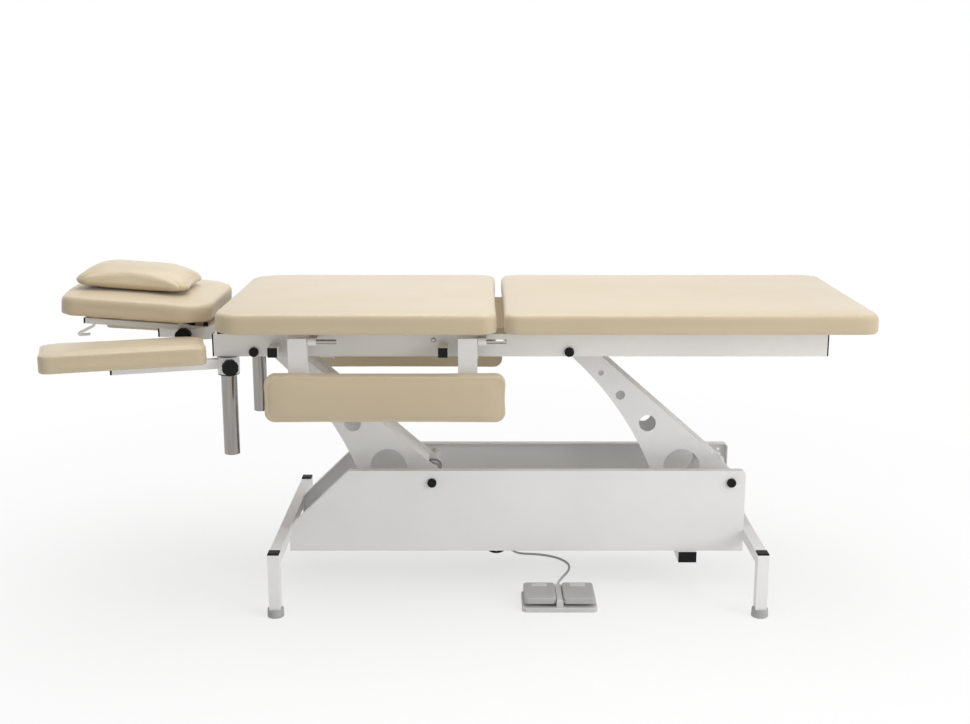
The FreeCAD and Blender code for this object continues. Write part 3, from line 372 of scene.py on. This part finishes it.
def seenRay(tree):
    path = tree.nodes.new("ShaderNodeLightPath")
    seen = mathNode(tree, "MAXIMUM", path.outputs["Is Camera Ray"], path.outputs["Is Glossy Ray"])
    return mathNode(tree, "MAXIMUM", seen, path.outputs["Is Transmission Ray"])


def addFloor(plan):
    bm = bmesh.new()
    bmesh.ops.create_grid(bm, x_segments=8, y_segments=8, size=plan["floorReach"])
    floor = linkObject("studioFloor", meshFromBmesh("studioFloor", bm))
    material, tree, shader, place = newMaterial("floorPaper")
    drift = ranged(tree, addNoise(tree, place, plan["paperPerMetre"]), 0.0, 1.0)
    tone = plan["floorColour"]
    paper = mixedColour(tree, drift, (tone,) * 3, (tone - plan["paperDrift"],) * 3)
    tree.links.new(paper, shader.inputs["Base Color"])
    shader.inputs["Roughness"].default_value = plan["floorRough"]
    shader.inputs["Specular IOR Level"].default_value = plan["floorGloss"]
    reach = tree.nodes.new("ShaderNodeVectorMath")
    reach.operation = "LENGTH"
    tree.links.new(place, reach.inputs[0])
    fade = ranged(tree, reach.outputs["Value"], plan["floorGlow"], 1.0, plan["fadeFrom"], plan["fadeTo"])
    glow = tree.nodes.new("ShaderNodeEmission")
    glow.inputs["Strength"].default_value = 1.0
    mix = tree.nodes.new("ShaderNodeMixShader")
    tree.links.new(mathNode(tree, "MULTIPLY", fade, seenRay(tree)), mix.inputs["Fac"])
    tree.links.new(shader.outputs["BSDF"], mix.inputs[1])
    tree.links.new(glow.outputs["Emission"], mix.inputs[2])
    tree.links.new(mix.outputs["Shader"], tree.nodes["Material Output"].inputs["Surface"])
    paintPiece(floor, material)


def addWorld(plan):
    world = bpy.data.worlds.new("studioWorld")
    world.use_nodes = True
    scene.world = world
    tree = world.node_tree
    backdrop = tree.nodes["Background"]
    backdrop.inputs["Color"].default_value = (1.0, 1.0, 1.0, 1.0)
    strength = ranged(tree, seenRay(tree), plan["ambient"], 1.0, 0.0, 1.0)
    tree.links.new(strength, backdrop.inputs["Strength"])


def addLamps(plan):
    for lamp in plan["lamps"]:
        data = bpy.data.lights.new(lamp["name"], "AREA")
        data.shape = "RECTANGLE"
        data.size, data.size_y = lamp["size"]
        data.energy = lamp["power"]
        light = linkObject(lamp["name"], data)
        light.location = lamp["place"]
        direction = Vector(lamp["aim"]) - Vector(lamp["place"])
        light.rotation_euler = direction.to_track_quat("-Z", "Y").to_euler()
        light.visible_glossy = lamp.get("mirrored", True)


addFloor(studio)
addWorld(studio)
addLamps(studio)
print("floor and light ready")


# lead from the base to the foot switch
switchCord = {
    "radius": 0.00325,
    "length": 0.505,
    "route": [(0.130, 0.095, 0.085), (0.131, 0.097, 0.064), (0.135, 0.103, 0.043),
              (0.145, 0.110, 0.023), (0.162, 0.115, 0.0085), (0.184, 0.1175, 0.0035),
              (0.216, 0.115, 0.0034), (0.250, 0.106, 0.0034), (0.282, 0.088, 0.0034),
              (0.306, 0.060, 0.0034), (0.318, 0.026, 0.0034), (0.316, -0.008, 0.0034),
              (0.305, -0.041, 0.0034), (0.291, -0.073, 0.0035), (0.280, -0.106, 0.0045),
              (0.274, -0.138, 0.008), (0.272, -0.163, 0.012), (0.272, -0.185, 0.013)],
}


def addCord(plan):
    curve = bpy.data.curves.new("switchLead", "CURVE")
    curve.dimensions = "3D"
    curve.bevel_depth = plan["radius"]
    curve.bevel_resolution = 5
    spline = curve.splines.new("NURBS")
    spline.points.add(len(plan["route"]) - 1)
    for point, place in zip(spline.points, plan["route"]):
        point.co = (*place, 1.0)
    spline.order_u = 3
    spline.use_endpoint_u = True
    spline.resolution_u = 12
    lead = linkObject("switchLead", curve)
    paintPiece(lead, finishes["cordCover"])
    settle(lead, "base", "grey_rubber", "switch_cord")


addCord(switchCord)
print("switch lead laid")


# cushions and pads: a smaller start shape is blown up inside its cover, then capped
cushionPlan = {
    "seatCushion": {"node": "seat_cushion", "body": "upper_frame", "voxel": 0.006, "turns": [],
                    "fill": 0.9},
    "legCushion": {"node": "leg_cushion", "body": "upper_frame", "voxel": 0.006, "turns": [],
                   "fill": 0.9, "footProud": 0.016},   # the cover stands this far off its solid at the foot end
    "headCushion": {"node": "headrest_cushion", "body": "headrest", "voxel": 0.005, "turns": [("Y", 4.2)],
                    "fill": 0.9},
    "frontSidePad": {"node": "front_armrest_pad", "body": "front_armrest", "voxel": 0.004,
                     "turns": [("X", 90.0)], "fill": 0.9, "sewnInset": 0.011},
    "rearSidePad": {"node": "rear_armrest_pad", "body": "rear_armrest", "voxel": 0.004,
                    "turns": [("X", -90.0)], "fill": 0.9, "sewnInset": 0.011},
    "frontHeadPad": {"node": "front_head_arm_pad", "body": "front_head_arm", "voxel": 0.004,
                     "turns": [("Z", 16.0)], "fill": 0.9, "sewnInset": 0.008},
    "rearHeadPad": {"node": "rear_head_arm_pad", "body": "rear_head_arm", "voxel": 0.004,
                    "turns": [("Z", -16.0)], "fill": 0.9, "sewnInset": 0.008},
    "loosePillow": {"node": "pillow", "body": "headrest", "voxel": 0.004,
                    "turns": [("Y", 4.2), ("Z", 15.0)], "fill": 0.6,
                    "lengthShare": 0.95, "relaid": -15.0},  # degrees about its own middle
}
coverCloth = {
    "slack": 0.0035,        # the cover starts this far inside the foam's outline
    "pressure": 4.0,
    "quality": 4,
    "stretch": 25.0,
    "shear": 12.0,
    "bend": 2.0,
    "give": 0.0014,         # how far the cover may stand off the foam
    "pillowGive": 0.006,
    "stapled": 0.004,       # height of the strip held under each pad
    "frames": 20,
    "ripple": 0.0003,       # slight unevenness of the cover
    "ripplePerMetre": 9.0,
    "fineRipplePerMetre": 23.0,
    "fineRippleShare": 0.5,
    "looseFill": 0.8,       # a pad filled less than this is a loose pillow
    "drift": 0.5,           # share of the way to its neighbours that a point goes in a round
    "flatFrom": 0.90,       # upright part of the normal from which a face counts as flat
    "flatBand": 0.08,
    "flatRounds": 60,       # how long the flat faces even themselves out
    "settleRounds": 12,     # the same, once the cover is blown up
    "edgeRounds": 3,        # rounds in which the edges take part
    "pillowEdgeRounds": 5,
    "baseShare": 0.2,       # the lower edge over the board stays crisper
    "baseHeight": 0.012,
    "crease": 0.0012,       # depth and half width of the sewn line
    "creaseWidth": 0.0032,
    "sewnCorner": 0.020,
    "sewnFacing": 0.3,      # the line is pressed in only where the cover faces up this much
    "foldCount": 13.0,      # folds fanning out of the pillow's corners
    "foldDepth": 0.0016,
    "foldReach": 0.055,
    "taperReach": 0.085,    # the pillow thins out towards its side seam
    "taperTo": 0.62,
    "taperHeight": 0.28,
}


def isLoose(plan):
    return plan["fill"] < coverCloth["looseFill"]


class PadFrame:
    # length, width and height directions of a pad, however it is turned
    def __init__(self, plan):
        self.turn = Matrix.Identity(3)
        for axis, degrees in plan["turns"]:
            self.turn = self.turn @ Matrix.Rotation(math.radians(degrees), 3, axis)
        self.back = self.turn.transposed()
        local = [self.back @ vertex.co for vertex in nodes[plan["node"]].data.vertices]
        self.low = Vector([min(point[axis] for point in local) for axis in range(3)])
        self.high = Vector([max(point[axis] for point in local) for axis in range(3)])
        self.high.x += plan.get("footProud", 0.0)
        spare = (self.high.x - self.low.x) * (1.0 - plan.get("lengthShare", 1.0)) / 2
        self.low.x += spare
        self.high.x -= spare
        self.middle = (self.low + self.high) / 2
        self.relaid = Matrix.Rotation(math.radians(plan.get("relaid", 0.0)), 3, "Z")

    def laid(self, point):
        # where a point of the pad comes to lie
        lying = self.middle + self.relaid @ (self.toLocal(point) - self.middle)
        return self.toWorld(lying)

    def toLocal(self, point):
        return self.back @ point

    def toWorld(self, point):
        return self.turn @ point

    def fit(self, places):
        # the finished pad fills the room that its solid holds
        for axis in range(3):
            low = min(place[axis] for place in places)
            high = max(place[axis] for place in places)
            stretch = (self.high[axis] - self.low[axis]) / (high - low)
            for place in places:
                place[axis] = self.low[axis] + (place[axis] - low) * stretch


def startShape(name, plan):
    # an even grid over the solid's own form
    bm = bmesh.new()
    bm.from_mesh(nodes[plan["node"]].data)
    bmesh.ops.remove_doubles(bm, verts=bm.verts, dist=1e-5)
    rough = linkObject(name + "Start", meshFromBmesh(name + "Start", bm))
    remesh = rough.modifiers.new("evenGrid", "REMESH")
    remesh.mode = "VOXEL"
    remesh.voxel_size = plan["voxel"]
    seen = rough.evaluated_get(bpy.context.evaluated_depsgraph_get())
    mesh = bpy.data.meshes.new_from_object(seen)
    bpy.data.objects.remove(rough)
    return linkObject(name, mesh)


def inflate(piece, padFrame):
    held = piece.vertex_groups.new(name="stapled")
    floor = padFrame.low.z + coverCloth["slack"] + coverCloth["stapled"]
    held.add([v.index for v in piece.data.vertices if padFrame.toLocal(v.co).z < floor], 1.0, "REPLACE")
    cover = piece.modifiers.new("cover", "CLOTH")
    cloth = cover.settings
    cloth.quality = coverCloth["quality"]
    cloth.tension_stiffness = coverCloth["stretch"]
    cloth.compression_stiffness = coverCloth["stretch"]
    cloth.shear_stiffness = coverCloth["shear"]
    cloth.bending_stiffness = coverCloth["bend"]
    cloth.use_pressure = True
    cloth.uniform_pressure_force = coverCloth["pressure"]
    cloth.vertex_group_mass = held.name
    cloth.effector_weights.gravity = 0.0
    cover.collision_settings.use_collision = False
    cover.point_cache.frame_start = 1
    cover.point_cache.frame_end = coverCloth["frames"]
    for step in range(1, coverCloth["frames"] + 1):
        scene.frame_set(step)
    seen = piece.evaluated_get(bpy.context.evaluated_depsgraph_get())
    places = [vertex.co.copy() for vertex in seen.data.vertices]
    piece.modifiers.remove(cover)
    piece.vertex_groups.clear()
    scene.frame_set(1)
    return places


def evened(mesh, places, share, flat, edgeRounds, flatRounds):
    # lets each point drift towards its neighbours: the edges too at first, then only the flat faces
    ends = np.empty(2 * len(mesh.edges), dtype=np.int32)
    mesh.edges.foreach_get("vertices", ends)
    first, second = ends[0::2], ends[1::2]
    points = np.array([tuple(place) for place in places])
    count = np.bincount(first, minlength=len(points)) + np.bincount(second, minlength=len(points))
    for step in range(flatRounds):
        middle = np.empty_like(points)
        for axis in range(3):
            total = np.bincount(first, points[second, axis], len(points))
            total += np.bincount(second, points[first, axis], len(points))
            middle[:, axis] = total / count
        weight = share if step < edgeRounds else flat
        points += (middle - points) * weight[:, None] * coverCloth["drift"]
    return [Vector(point) for point in points]


def seamDistance(place, padFrame, inset):
    # how far a point lies from the sewn line round the pad's face
    corner = coverCloth["sewnCorner"]
    half = padFrame.high - padFrame.middle
    x = abs(place.x - padFrame.middle.x) - (half.x - inset - corner)
    y = abs(place.y - padFrame.middle.y) - (half.y - inset - corner)
    return abs(math.hypot(max(x, 0.0), max(y, 0.0)) + min(max(x, y), 0.0) - corner)


def pillowFold(place, padFrame):
    # soft folds that run out of the nearest corner
    half = padFrame.high - padFrame.middle
    x = half.x - abs(place.x - padFrame.middle.x)
    y = half.y - abs(place.y - padFrame.middle.y)
    fade = math.exp(-(x * x + y * y) / coverCloth["foldReach"] ** 2)
    return fade * math.sin(math.atan2(y, x) * coverCloth["foldCount"])


def tapered(place, padFrame):
    # thins a pillow towards its side seam
    half = padFrame.high - padFrame.middle
    full = 1.0
    for axis in (0, 1):
        inside = (half[axis] - abs(place[axis] - padFrame.middle[axis])) / coverCloth["taperReach"]
        full *= 1.0 - (1.0 - min(max(inside, 0.0), 1.0)) ** 2
    thin = coverCloth["taperTo"] + (1.0 - coverCloth["taperTo"]) * full
    seam = padFrame.low.z + coverCloth["taperHeight"] * (padFrame.high.z - padFrame.low.z)
    return Vector((place.x, place.y, seam + (place.z - seam) * thin))


def dressed(place, normal, plan, padFrame):
    # the small forms of the cover: ripples, folds and the sewn line
    coarse = noise.noise(place * coverCloth["ripplePerMetre"])
    fine = noise.noise(place * coverCloth["fineRipplePerMetre"])
    move = coverCloth["ripple"] * (coarse + coverCloth["fineRippleShare"] * fine)
    if isLoose(plan):
        move += coverCloth["foldDepth"] * pillowFold(place, padFrame)
    elif "sewnInset" in plan and normal.z > coverCloth["sewnFacing"]:
        away = seamDistance(place, padFrame, plan["sewnInset"]) / coverCloth["creaseWidth"]
        move -= coverCloth["crease"] * math.exp(-away * away)
    return place + normal * move


def makeCushion(name, plan):
    padFrame = PadFrame(plan)
    piece = startShape(name, plan)
    mesh = piece.data
    edgeRounds = coverCloth["pillowEdgeRounds" if isLoose(plan) else "edgeRounds"]
    give = coverCloth["pillowGive" if isLoose(plan) else "give"]
    places = [padFrame.toLocal(vertex.co) for vertex in mesh.vertices]
    levels = np.array([abs(padFrame.toLocal(vertex.normal).z) for vertex in mesh.vertices])
    flat = np.clip((levels - coverCloth["flatFrom"]) / coverCloth["flatBand"], 0.0, 1.0)
    base = padFrame.low.z + coverCloth["baseHeight"]
    share = np.array([coverCloth["baseShare"] if place.z < base else 1.0 for place in places])
    foam = evened(mesh, places, share, flat, edgeRounds, coverCloth["flatRounds"])
    if isLoose(plan):
        foam = [tapered(place, padFrame) for place in foam]
    padFrame.fit(foam)
    for vertex, place in zip(mesh.vertices, foam):
        vertex.co = padFrame.toWorld(place)
    mesh.update()
    normals = [padFrame.toLocal(vertex.normal) for vertex in mesh.vertices]
    for vertex, place, normal in zip(mesh.vertices, foam, normals):
        vertex.co = padFrame.toWorld(place - normal * coverCloth["slack"])
    mesh.update()
    swollen = [padFrame.toLocal(place) for place in inflate(piece, padFrame)]
    for index, place in enumerate(foam):
        move = swollen[index] - place
        foam[index] = place + move * min(1.0, give / max(move.length, 1e-6))
    foam = evened(mesh, foam, share, flat, 1, coverCloth["settleRounds"])
    padFrame.fit(foam)
    for vertex, place, normal in zip(mesh.vertices, foam, normals):
        vertex.co = padFrame.laid(padFrame.toWorld(dressed(place, normal, plan, padFrame)))
    for face in mesh.polygons:
        face.use_smooth = True
    finer = piece.modifiers.new("finer", "SUBSURF")
    finer.levels = 1
    finer.render_levels = 1
    paintPiece(piece, finishes["upholstery"])
    return piece, padFrame


cushions = {}
for name, plan in cushionPlan.items():
    cushion, padFrame = makeCushion(name, plan)
    cushions[name] = (cushion, padFrame)
    settle(cushion, plan["body"], "upholstery", plan["node"])
    print("padded:", name, len(cushion.data.vertices), "points")


# seams: a rolled edge with a line of stitches beside it, laid on the finished covers
seamPlan = {
    "roll": 0.0011,          # radius of the pillow's rolled seam
    "sink": 0.0004,
    "rollHeight": 0.46,      # share of the pillow's height
    "rollSlope": 4.0,        # degrees above level from which the seam is looked for
    "pillowCorner": 0.045,
    "step": 0.006,           # metres between the points that follow the cover
    "stitchPitch": 0.0055,
    "stitchSize": (0.00042, 0.00042, 0.0017),
    "stitchAside": 0.0034,   # the stitches run this far beside the seam
    "stitchLift": 0.0001,
    "castFrom": 0.06,        # the search for the cover starts this far outside
}


def roundedLoop(low, high, corner, step):
    # points and outward directions round a rectangle with rounded corners
    loop = []
    centres = [(high.x - corner, low.y + corner, -90), (high.x - corner, high.y - corner, 0),
               (low.x + corner, high.y - corner, 90), (low.x + corner, low.y + corner, 180)]
    turns = max(4, round(corner * math.pi / 2 / step))
    for index, (x, y, heading) in enumerate(centres):
        for turn in range(turns + 1):
            angle = math.radians(heading + 90 * turn / turns)
            outward = Vector((math.cos(angle), math.sin(angle), 0.0))
            loop.append((Vector((x, y, 0.0)) + outward * corner, outward))
        nextX, nextY, nextHeading = centres[(index + 1) % 4]
        nextAngle = math.radians(nextHeading)
        outward = Vector((math.cos(nextAngle), math.sin(nextAngle), 0.0))
        first = loop[-1][0]
        last = Vector((nextX, nextY, 0.0)) + outward * corner
        runs = round((last - first).length / step)
        for run in range(1, runs):
            loop.append((first.lerp(last, run / runs), outward))
    return loop


def coverPath(name, slope, height, inset, corner, lift):
    # walks round a pad and drops each point on its cover, seen from the given slope
    cushion, padFrame = cushions[name]
    surface = BVHTree.FromObject(cushion, bpy.context.evaluated_depsgraph_get())
    margin = Vector((inset, inset, 0.0))
    path = []
    loop = roundedLoop(padFrame.low + margin, padFrame.high - margin, corner, seamPlan["step"])
    for place, outward in loop:
        away = outward * math.cos(slope) + Vector((0.0, 0.0, math.sin(slope)))
        aim = Vector((place.x, place.y, height))
        origin = padFrame.laid(padFrame.toWorld(aim + away * seamPlan["castFrom"]))
        target = padFrame.laid(padFrame.toWorld(aim))
        hit, normal, face, distance = surface.ray_cast(origin, (target - origin).normalized())
        if hit is not None:
            path.append(hit + normal * lift)
    return path


def polyCurve(name, path):
    curve = bpy.data.curves.new(name, "CURVE")
    curve.dimensions = "3D"
    spline = curve.splines.new("POLY")
    spline.points.add(len(path) - 1)
    for point, place in zip(spline.points, path):
        point.co = (*place, 1.0)
    spline.use_cyclic_u = True
    return linkObject(name, curve)


def bakedMesh(piece, name):
    # the finished shape of a curve or a node tree, as a plain mesh at the origin
    seen = piece.evaluated_get(bpy.context.evaluated_depsgraph_get())
    mesh = bpy.data.meshes.new_from_object(seen)
    bpy.data.objects.remove(piece)
    for face in mesh.polygons:
        face.use_smooth = True
    return linkObject(name, mesh)


def newTree(name, *sockets):
    tree = bpy.data.node_groups.new(name, "GeometryNodeTree")
    tree.interface.new_socket("Geometry", in_out="INPUT", socket_type="NodeSocketGeometry")
    for label, kind, value in sockets:
        socket = tree.interface.new_socket(label, in_out="INPUT", socket_type=kind)
        socket.default_value = value
    tree.interface.new_socket("Geometry", in_out="OUTPUT", socket_type="NodeSocketGeometry")
    return tree, tree.nodes.new("NodeGroupInput"), tree.nodes.new("NodeGroupOutput")


def runTree(piece, tree, values):
    modifier = piece.modifiers.new("repeats", "NODES")
    modifier.node_group = tree
    for item in tree.interface.items_tree:
        if item.in_out == "INPUT" and item.name in values:
            modifier[item.identifier] = values[item.name]


def endTree(tree, instances, material, output):
    real = tree.nodes.new("GeometryNodeRealizeInstances")
    painted = tree.nodes.new("GeometryNodeSetMaterial")
    painted.inputs["Material"].default_value = material
    tree.links.new(instances, real.inputs["Geometry"])
    tree.links.new(real.outputs["Geometry"], painted.inputs["Geometry"])
    tree.links.new(painted.outputs["Geometry"], output.inputs["Geometry"])


def makeStitchTree():
    tree, given, output = newTree("stitchRow", ("Pitch", "NodeSocketFloat", 0.005),
                                  ("Stitch Size", "NodeSocketVector", (0.0004, 0.0004, 0.0016)))
    points = tree.nodes.new("GeometryNodeCurveToPoints")
    points.mode = "LENGTH"
    stitch = tree.nodes.new("GeometryNodeMeshUVSphere")
    stitch.inputs["Segments"].default_value = 6
    stitch.inputs["Rings"].default_value = 4
    stitch.inputs["Radius"].default_value = 1.0
    align = tree.nodes.new("FunctionNodeAlignRotationToVector")
    align.axis = "Z"
    place = tree.nodes.new("GeometryNodeInstanceOnPoints")
    tree.links.new(given.outputs["Geometry"], points.inputs["Curve"])
    tree.links.new(given.outputs["Pitch"], points.inputs["Length"])
    tree.links.new(points.outputs["Tangent"], align.inputs["Vector"])
    tree.links.new(points.outputs["Points"], place.inputs["Points"])
    tree.links.new(stitch.outputs["Mesh"], place.inputs["Instance"])
    tree.links.new(align.outputs["Rotation"], place.inputs["Rotation"])
    tree.links.new(given.outputs["Stitch Size"], place.inputs["Scale"])
    endTree(tree, place.outputs["Instances"], finishes["thread"], output)
    return tree


def sewStitches(name, body, path):
    line = polyCurve(name + "StitchLine", path)
    runTree(line, stitchTree, {"Pitch": seamPlan["stitchPitch"], "Stitch Size": seamPlan["stitchSize"]})
    stitches = bakedMesh(line, name + "Stitches")
    settle(stitches, body, "upholstery")


def sewPad(name, plan):
    # stitches just inside the sewn line of a pad's face
    padFrame = cushions[name][1]
    inset = plan["sewnInset"] + seamPlan["stitchAside"]
    corner = coverCloth["sewnCorner"]
    path = coverPath(name, math.radians(90.0), padFrame.high.z, inset, corner, seamPlan["stitchLift"])
    sewStitches(name, plan["body"], path)


def sewPillow(name, plan):
    # a rolled seam round the pillow's side, with stitches above it
    padFrame = cushions[name][1]
    slope = math.radians(seamPlan["rollSlope"])
    corner = seamPlan["pillowCorner"]
    height = padFrame.low.z + seamPlan["rollHeight"] * (padFrame.high.z - padFrame.low.z)
    roll = polyCurve(name + "RollLine", coverPath(name, slope, height, 0.0, corner, -seamPlan["sink"]))
    roll.data.bevel_depth = seamPlan["roll"]
    roll.data.bevel_resolution = 2
    seam = bakedMesh(roll, name + "Seam")
    paintPiece(seam, finishes["upholstery"])
    settle(seam, plan["body"], "upholstery")
    height += seamPlan["stitchAside"]
    path = coverPath(name, slope, height, 0.0, corner, seamPlan["stitchLift"])
    sewStitches(name, plan["body"], path)


stitchTree = makeStitchTree()
for name, plan in cushionPlan.items():
    if "sewnInset" in plan:
        sewPad(name, plan)
sewPillow("loosePillow", cushionPlan["loosePillow"])
print("seams sewn")


# dome bolts and screws, most with a hexagon socket drawn as a black hexagon of painted shade, set out by a node
# tree
fastenerPlan = {
    "railBolts": {"body": "upper_frame", "radius": 0.0068, "height": 0.0048,
                  "socket": False,  # plain domes
                  "spots": [((-0.065, -0.243, 0.736), (0, -1, 0)), ((-0.065, 0.243, 0.736), (0, 1, 0))]},
    "boardScrews": {"body": "upper_frame", "radius": 0.0055, "height": 0.0030,
                    "spots": [((x, y, 0.722), (0, 0, -1))
                              for x in (-0.10, 0.20, 0.70) for y in (-0.17, 0.17)]},
    "boxScrews": {"body": "base", "radius": 0.0038, "height": 0.0022,
                  "spots": [((x, y, 0.177), (0, 0, 1)) for x in (0.066, 0.164) for y in (0.079, 0.132)]},
    "motorScrews": {"body": "actuator", "radius": 0.0034, "height": 0.0022,
                    "spots": [((0.1018 + 0.027 * math.cos(turn), -0.118, 0.132 + 0.027 * math.sin(turn)),
                               (0, -1, 0)) for turn in (0.52, 2.62, 4.71)]},
}


# the socket sizes are for the black hexagon of painted shade that marks each socket
fastenerShape = {"segments": 20, "rings": 12, "socketSides": 6, "socketShare": 0.42, "socketDepth": 2.04}


def makeFastenerTree(name, kind, material):
    tree, given, output = newTree(name, ("Radius", "NodeSocketFloat", 0.005),
                                  ("Height", "NodeSocketFloat", 0.003))
    size = tree.nodes.new("ShaderNodeCombineXYZ")
    for axis in ("X", "Y"):
        tree.links.new(given.outputs["Radius"], size.inputs[axis])
    tree.links.new(given.outputs["Height"], size.inputs["Z"])
    if kind == "dome":
        shape = tree.nodes.new("GeometryNodeMeshUVSphere")
        shape.inputs["Segments"].default_value = fastenerShape["segments"]
        shape.inputs["Rings"].default_value = fastenerShape["rings"]
        shape.inputs["Radius"].default_value = 1.0
    else:
        shape = tree.nodes.new("GeometryNodeMeshCylinder")
        shape.inputs["Vertices"].default_value = fastenerShape["socketSides"]
        shape.inputs["Radius"].default_value = fastenerShape["socketShare"]
        shape.inputs["Depth"].default_value = fastenerShape["socketDepth"]
    facing = tree.nodes.new("GeometryNodeInputNamedAttribute")
    facing.data_type = "FLOAT_VECTOR"
    facing.inputs["Name"].default_value = "facing"
    align = tree.nodes.new("FunctionNodeAlignRotationToVector")
    align.axis = "Z"
    place = tree.nodes.new("GeometryNodeInstanceOnPoints")
    tree.links.new(facing.outputs["Attribute"], align.inputs["Vector"])
    tree.links.new(given.outputs["Geometry"], place.inputs["Points"])
    tree.links.new(shape.outputs["Mesh"], place.inputs["Instance"])
    tree.links.new(align.outputs["Rotation"], place.inputs["Rotation"])
    tree.links.new(size.outputs["Vector"], place.inputs["Scale"])
    endTree(tree, place.outputs["Instances"], material, output)
    return tree


def setFasteners(name, plan, tree, slotName):
    mesh = bpy.data.meshes.new(name)
    mesh.from_pydata([place for place, facing in plan["spots"]], [], [])
    facing = mesh.attributes.new("facing", "FLOAT_VECTOR", "POINT")
    for item, (place, direction) in zip(facing.data, plan["spots"]):
        item.vector = direction
    row = linkObject(name + "Spots", mesh)
    runTree(row, tree, {"Radius": plan["radius"], "Height": plan["height"]})
    settle(bakedMesh(row, name), plan["body"], slotName)


# each socket is a solid black hexagon standing just proud of its dome: painted shade in place of the recess
socketShadeTree = makeFastenerTree("socketShadeRow", "hexagon", finishes["blackPaint"])
domeTree = makeFastenerTree("domeRow", "dome", finishes["steel"])
for name, plan in fastenerPlan.items():
    setFasteners(name, plan, domeTree, "steel")
    # the black hexagons are painted shade for the socket recesses, not black metal
    if plan.get("socket", True):
        setFasteners(name + "SocketShades", plan, socketShadeTree, "black_metal")
print("fasteners set")


# blank label plates on the pedals, and the black blocks between the headrest's tubes and cushion
smallBlocks = {
    "plateSize": (0.042, 0.020, 0.0009),
    "plateFromRear": 0.020,
    "plateSink": 0.0001,
    "plateEdge": 0.0004,
    "blockTilt": 4.2,
    "hinge": (-0.660, 0.0, 0.741),
    "blocks": [(-0.0675, 0.025), (-0.026, 0.012)],  # middle from the hinge, and length
    "blockWidth": 0.0062,
    "blockHeight": 0.010,
    "blockY": 0.1286,
    "blockEdge": 0.0008,
    "tubeTop": 0.0075,
}


def softBlock(bm, size, middle, edge):
    made = bmesh.ops.create_cube(bm, size=1.0)["verts"]
    bmesh.ops.scale(bm, vec=size, verts=made)
    bmesh.ops.translate(bm, vec=middle, verts=made)
    edges = list({line for vertex in made for line in vertex.link_edges})
    bmesh.ops.bevel(bm, geom=edges, offset=edge, segments=3, profile=0.5, affect="EDGES")


def addLabelPlate(name, body):
    low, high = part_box(body)
    size = smallBlocks["plateSize"]
    bm = bmesh.new()
    middle = ((low[0] + high[0]) / 2, high[1] - smallBlocks["plateFromRear"],
              high[2] + size[2] / 2 - smallBlocks["plateSink"])
    softBlock(bm, size, middle, smallBlocks["plateEdge"])
    plate = linkObject(name, meshFromBmesh(name, bm))
    paintPiece(plate, finishes["labelPlastic"])
    settle(plate, body, "grey_plastic")


def addTubeBlocks():
    bm = bmesh.new()
    hinge = Vector(smallBlocks["hinge"])
    height = smallBlocks["blockHeight"]
    for along, length in smallBlocks["blocks"]:
        for side in (-1, 1):
            middle = (along, side * smallBlocks["blockY"], smallBlocks["tubeTop"] + height / 2)
            softBlock(bm, (length, smallBlocks["blockWidth"], height), middle, smallBlocks["blockEdge"])
    tilt = Matrix.Rotation(math.radians(smallBlocks["blockTilt"]), 3, "Y")
    bmesh.ops.rotate(bm, cent=(0, 0, 0), matrix=tilt, verts=bm.verts)
    bmesh.ops.translate(bm, vec=hinge, verts=bm.verts)
    blocks = linkObject("headrestBlocks", meshFromBmesh("headrestBlocks", bm))
    paintPiece(blocks, finishes["blackPlastic"])
    settle(blocks, "headrest", "black_plastic")


addLabelPlate("leftPedalPlate", "pedal_left")
addLabelPlate("rightPedalPlate", "pedal_right")
addTubeBlocks()
print("small blocks and plates added")


print("all pieces made")
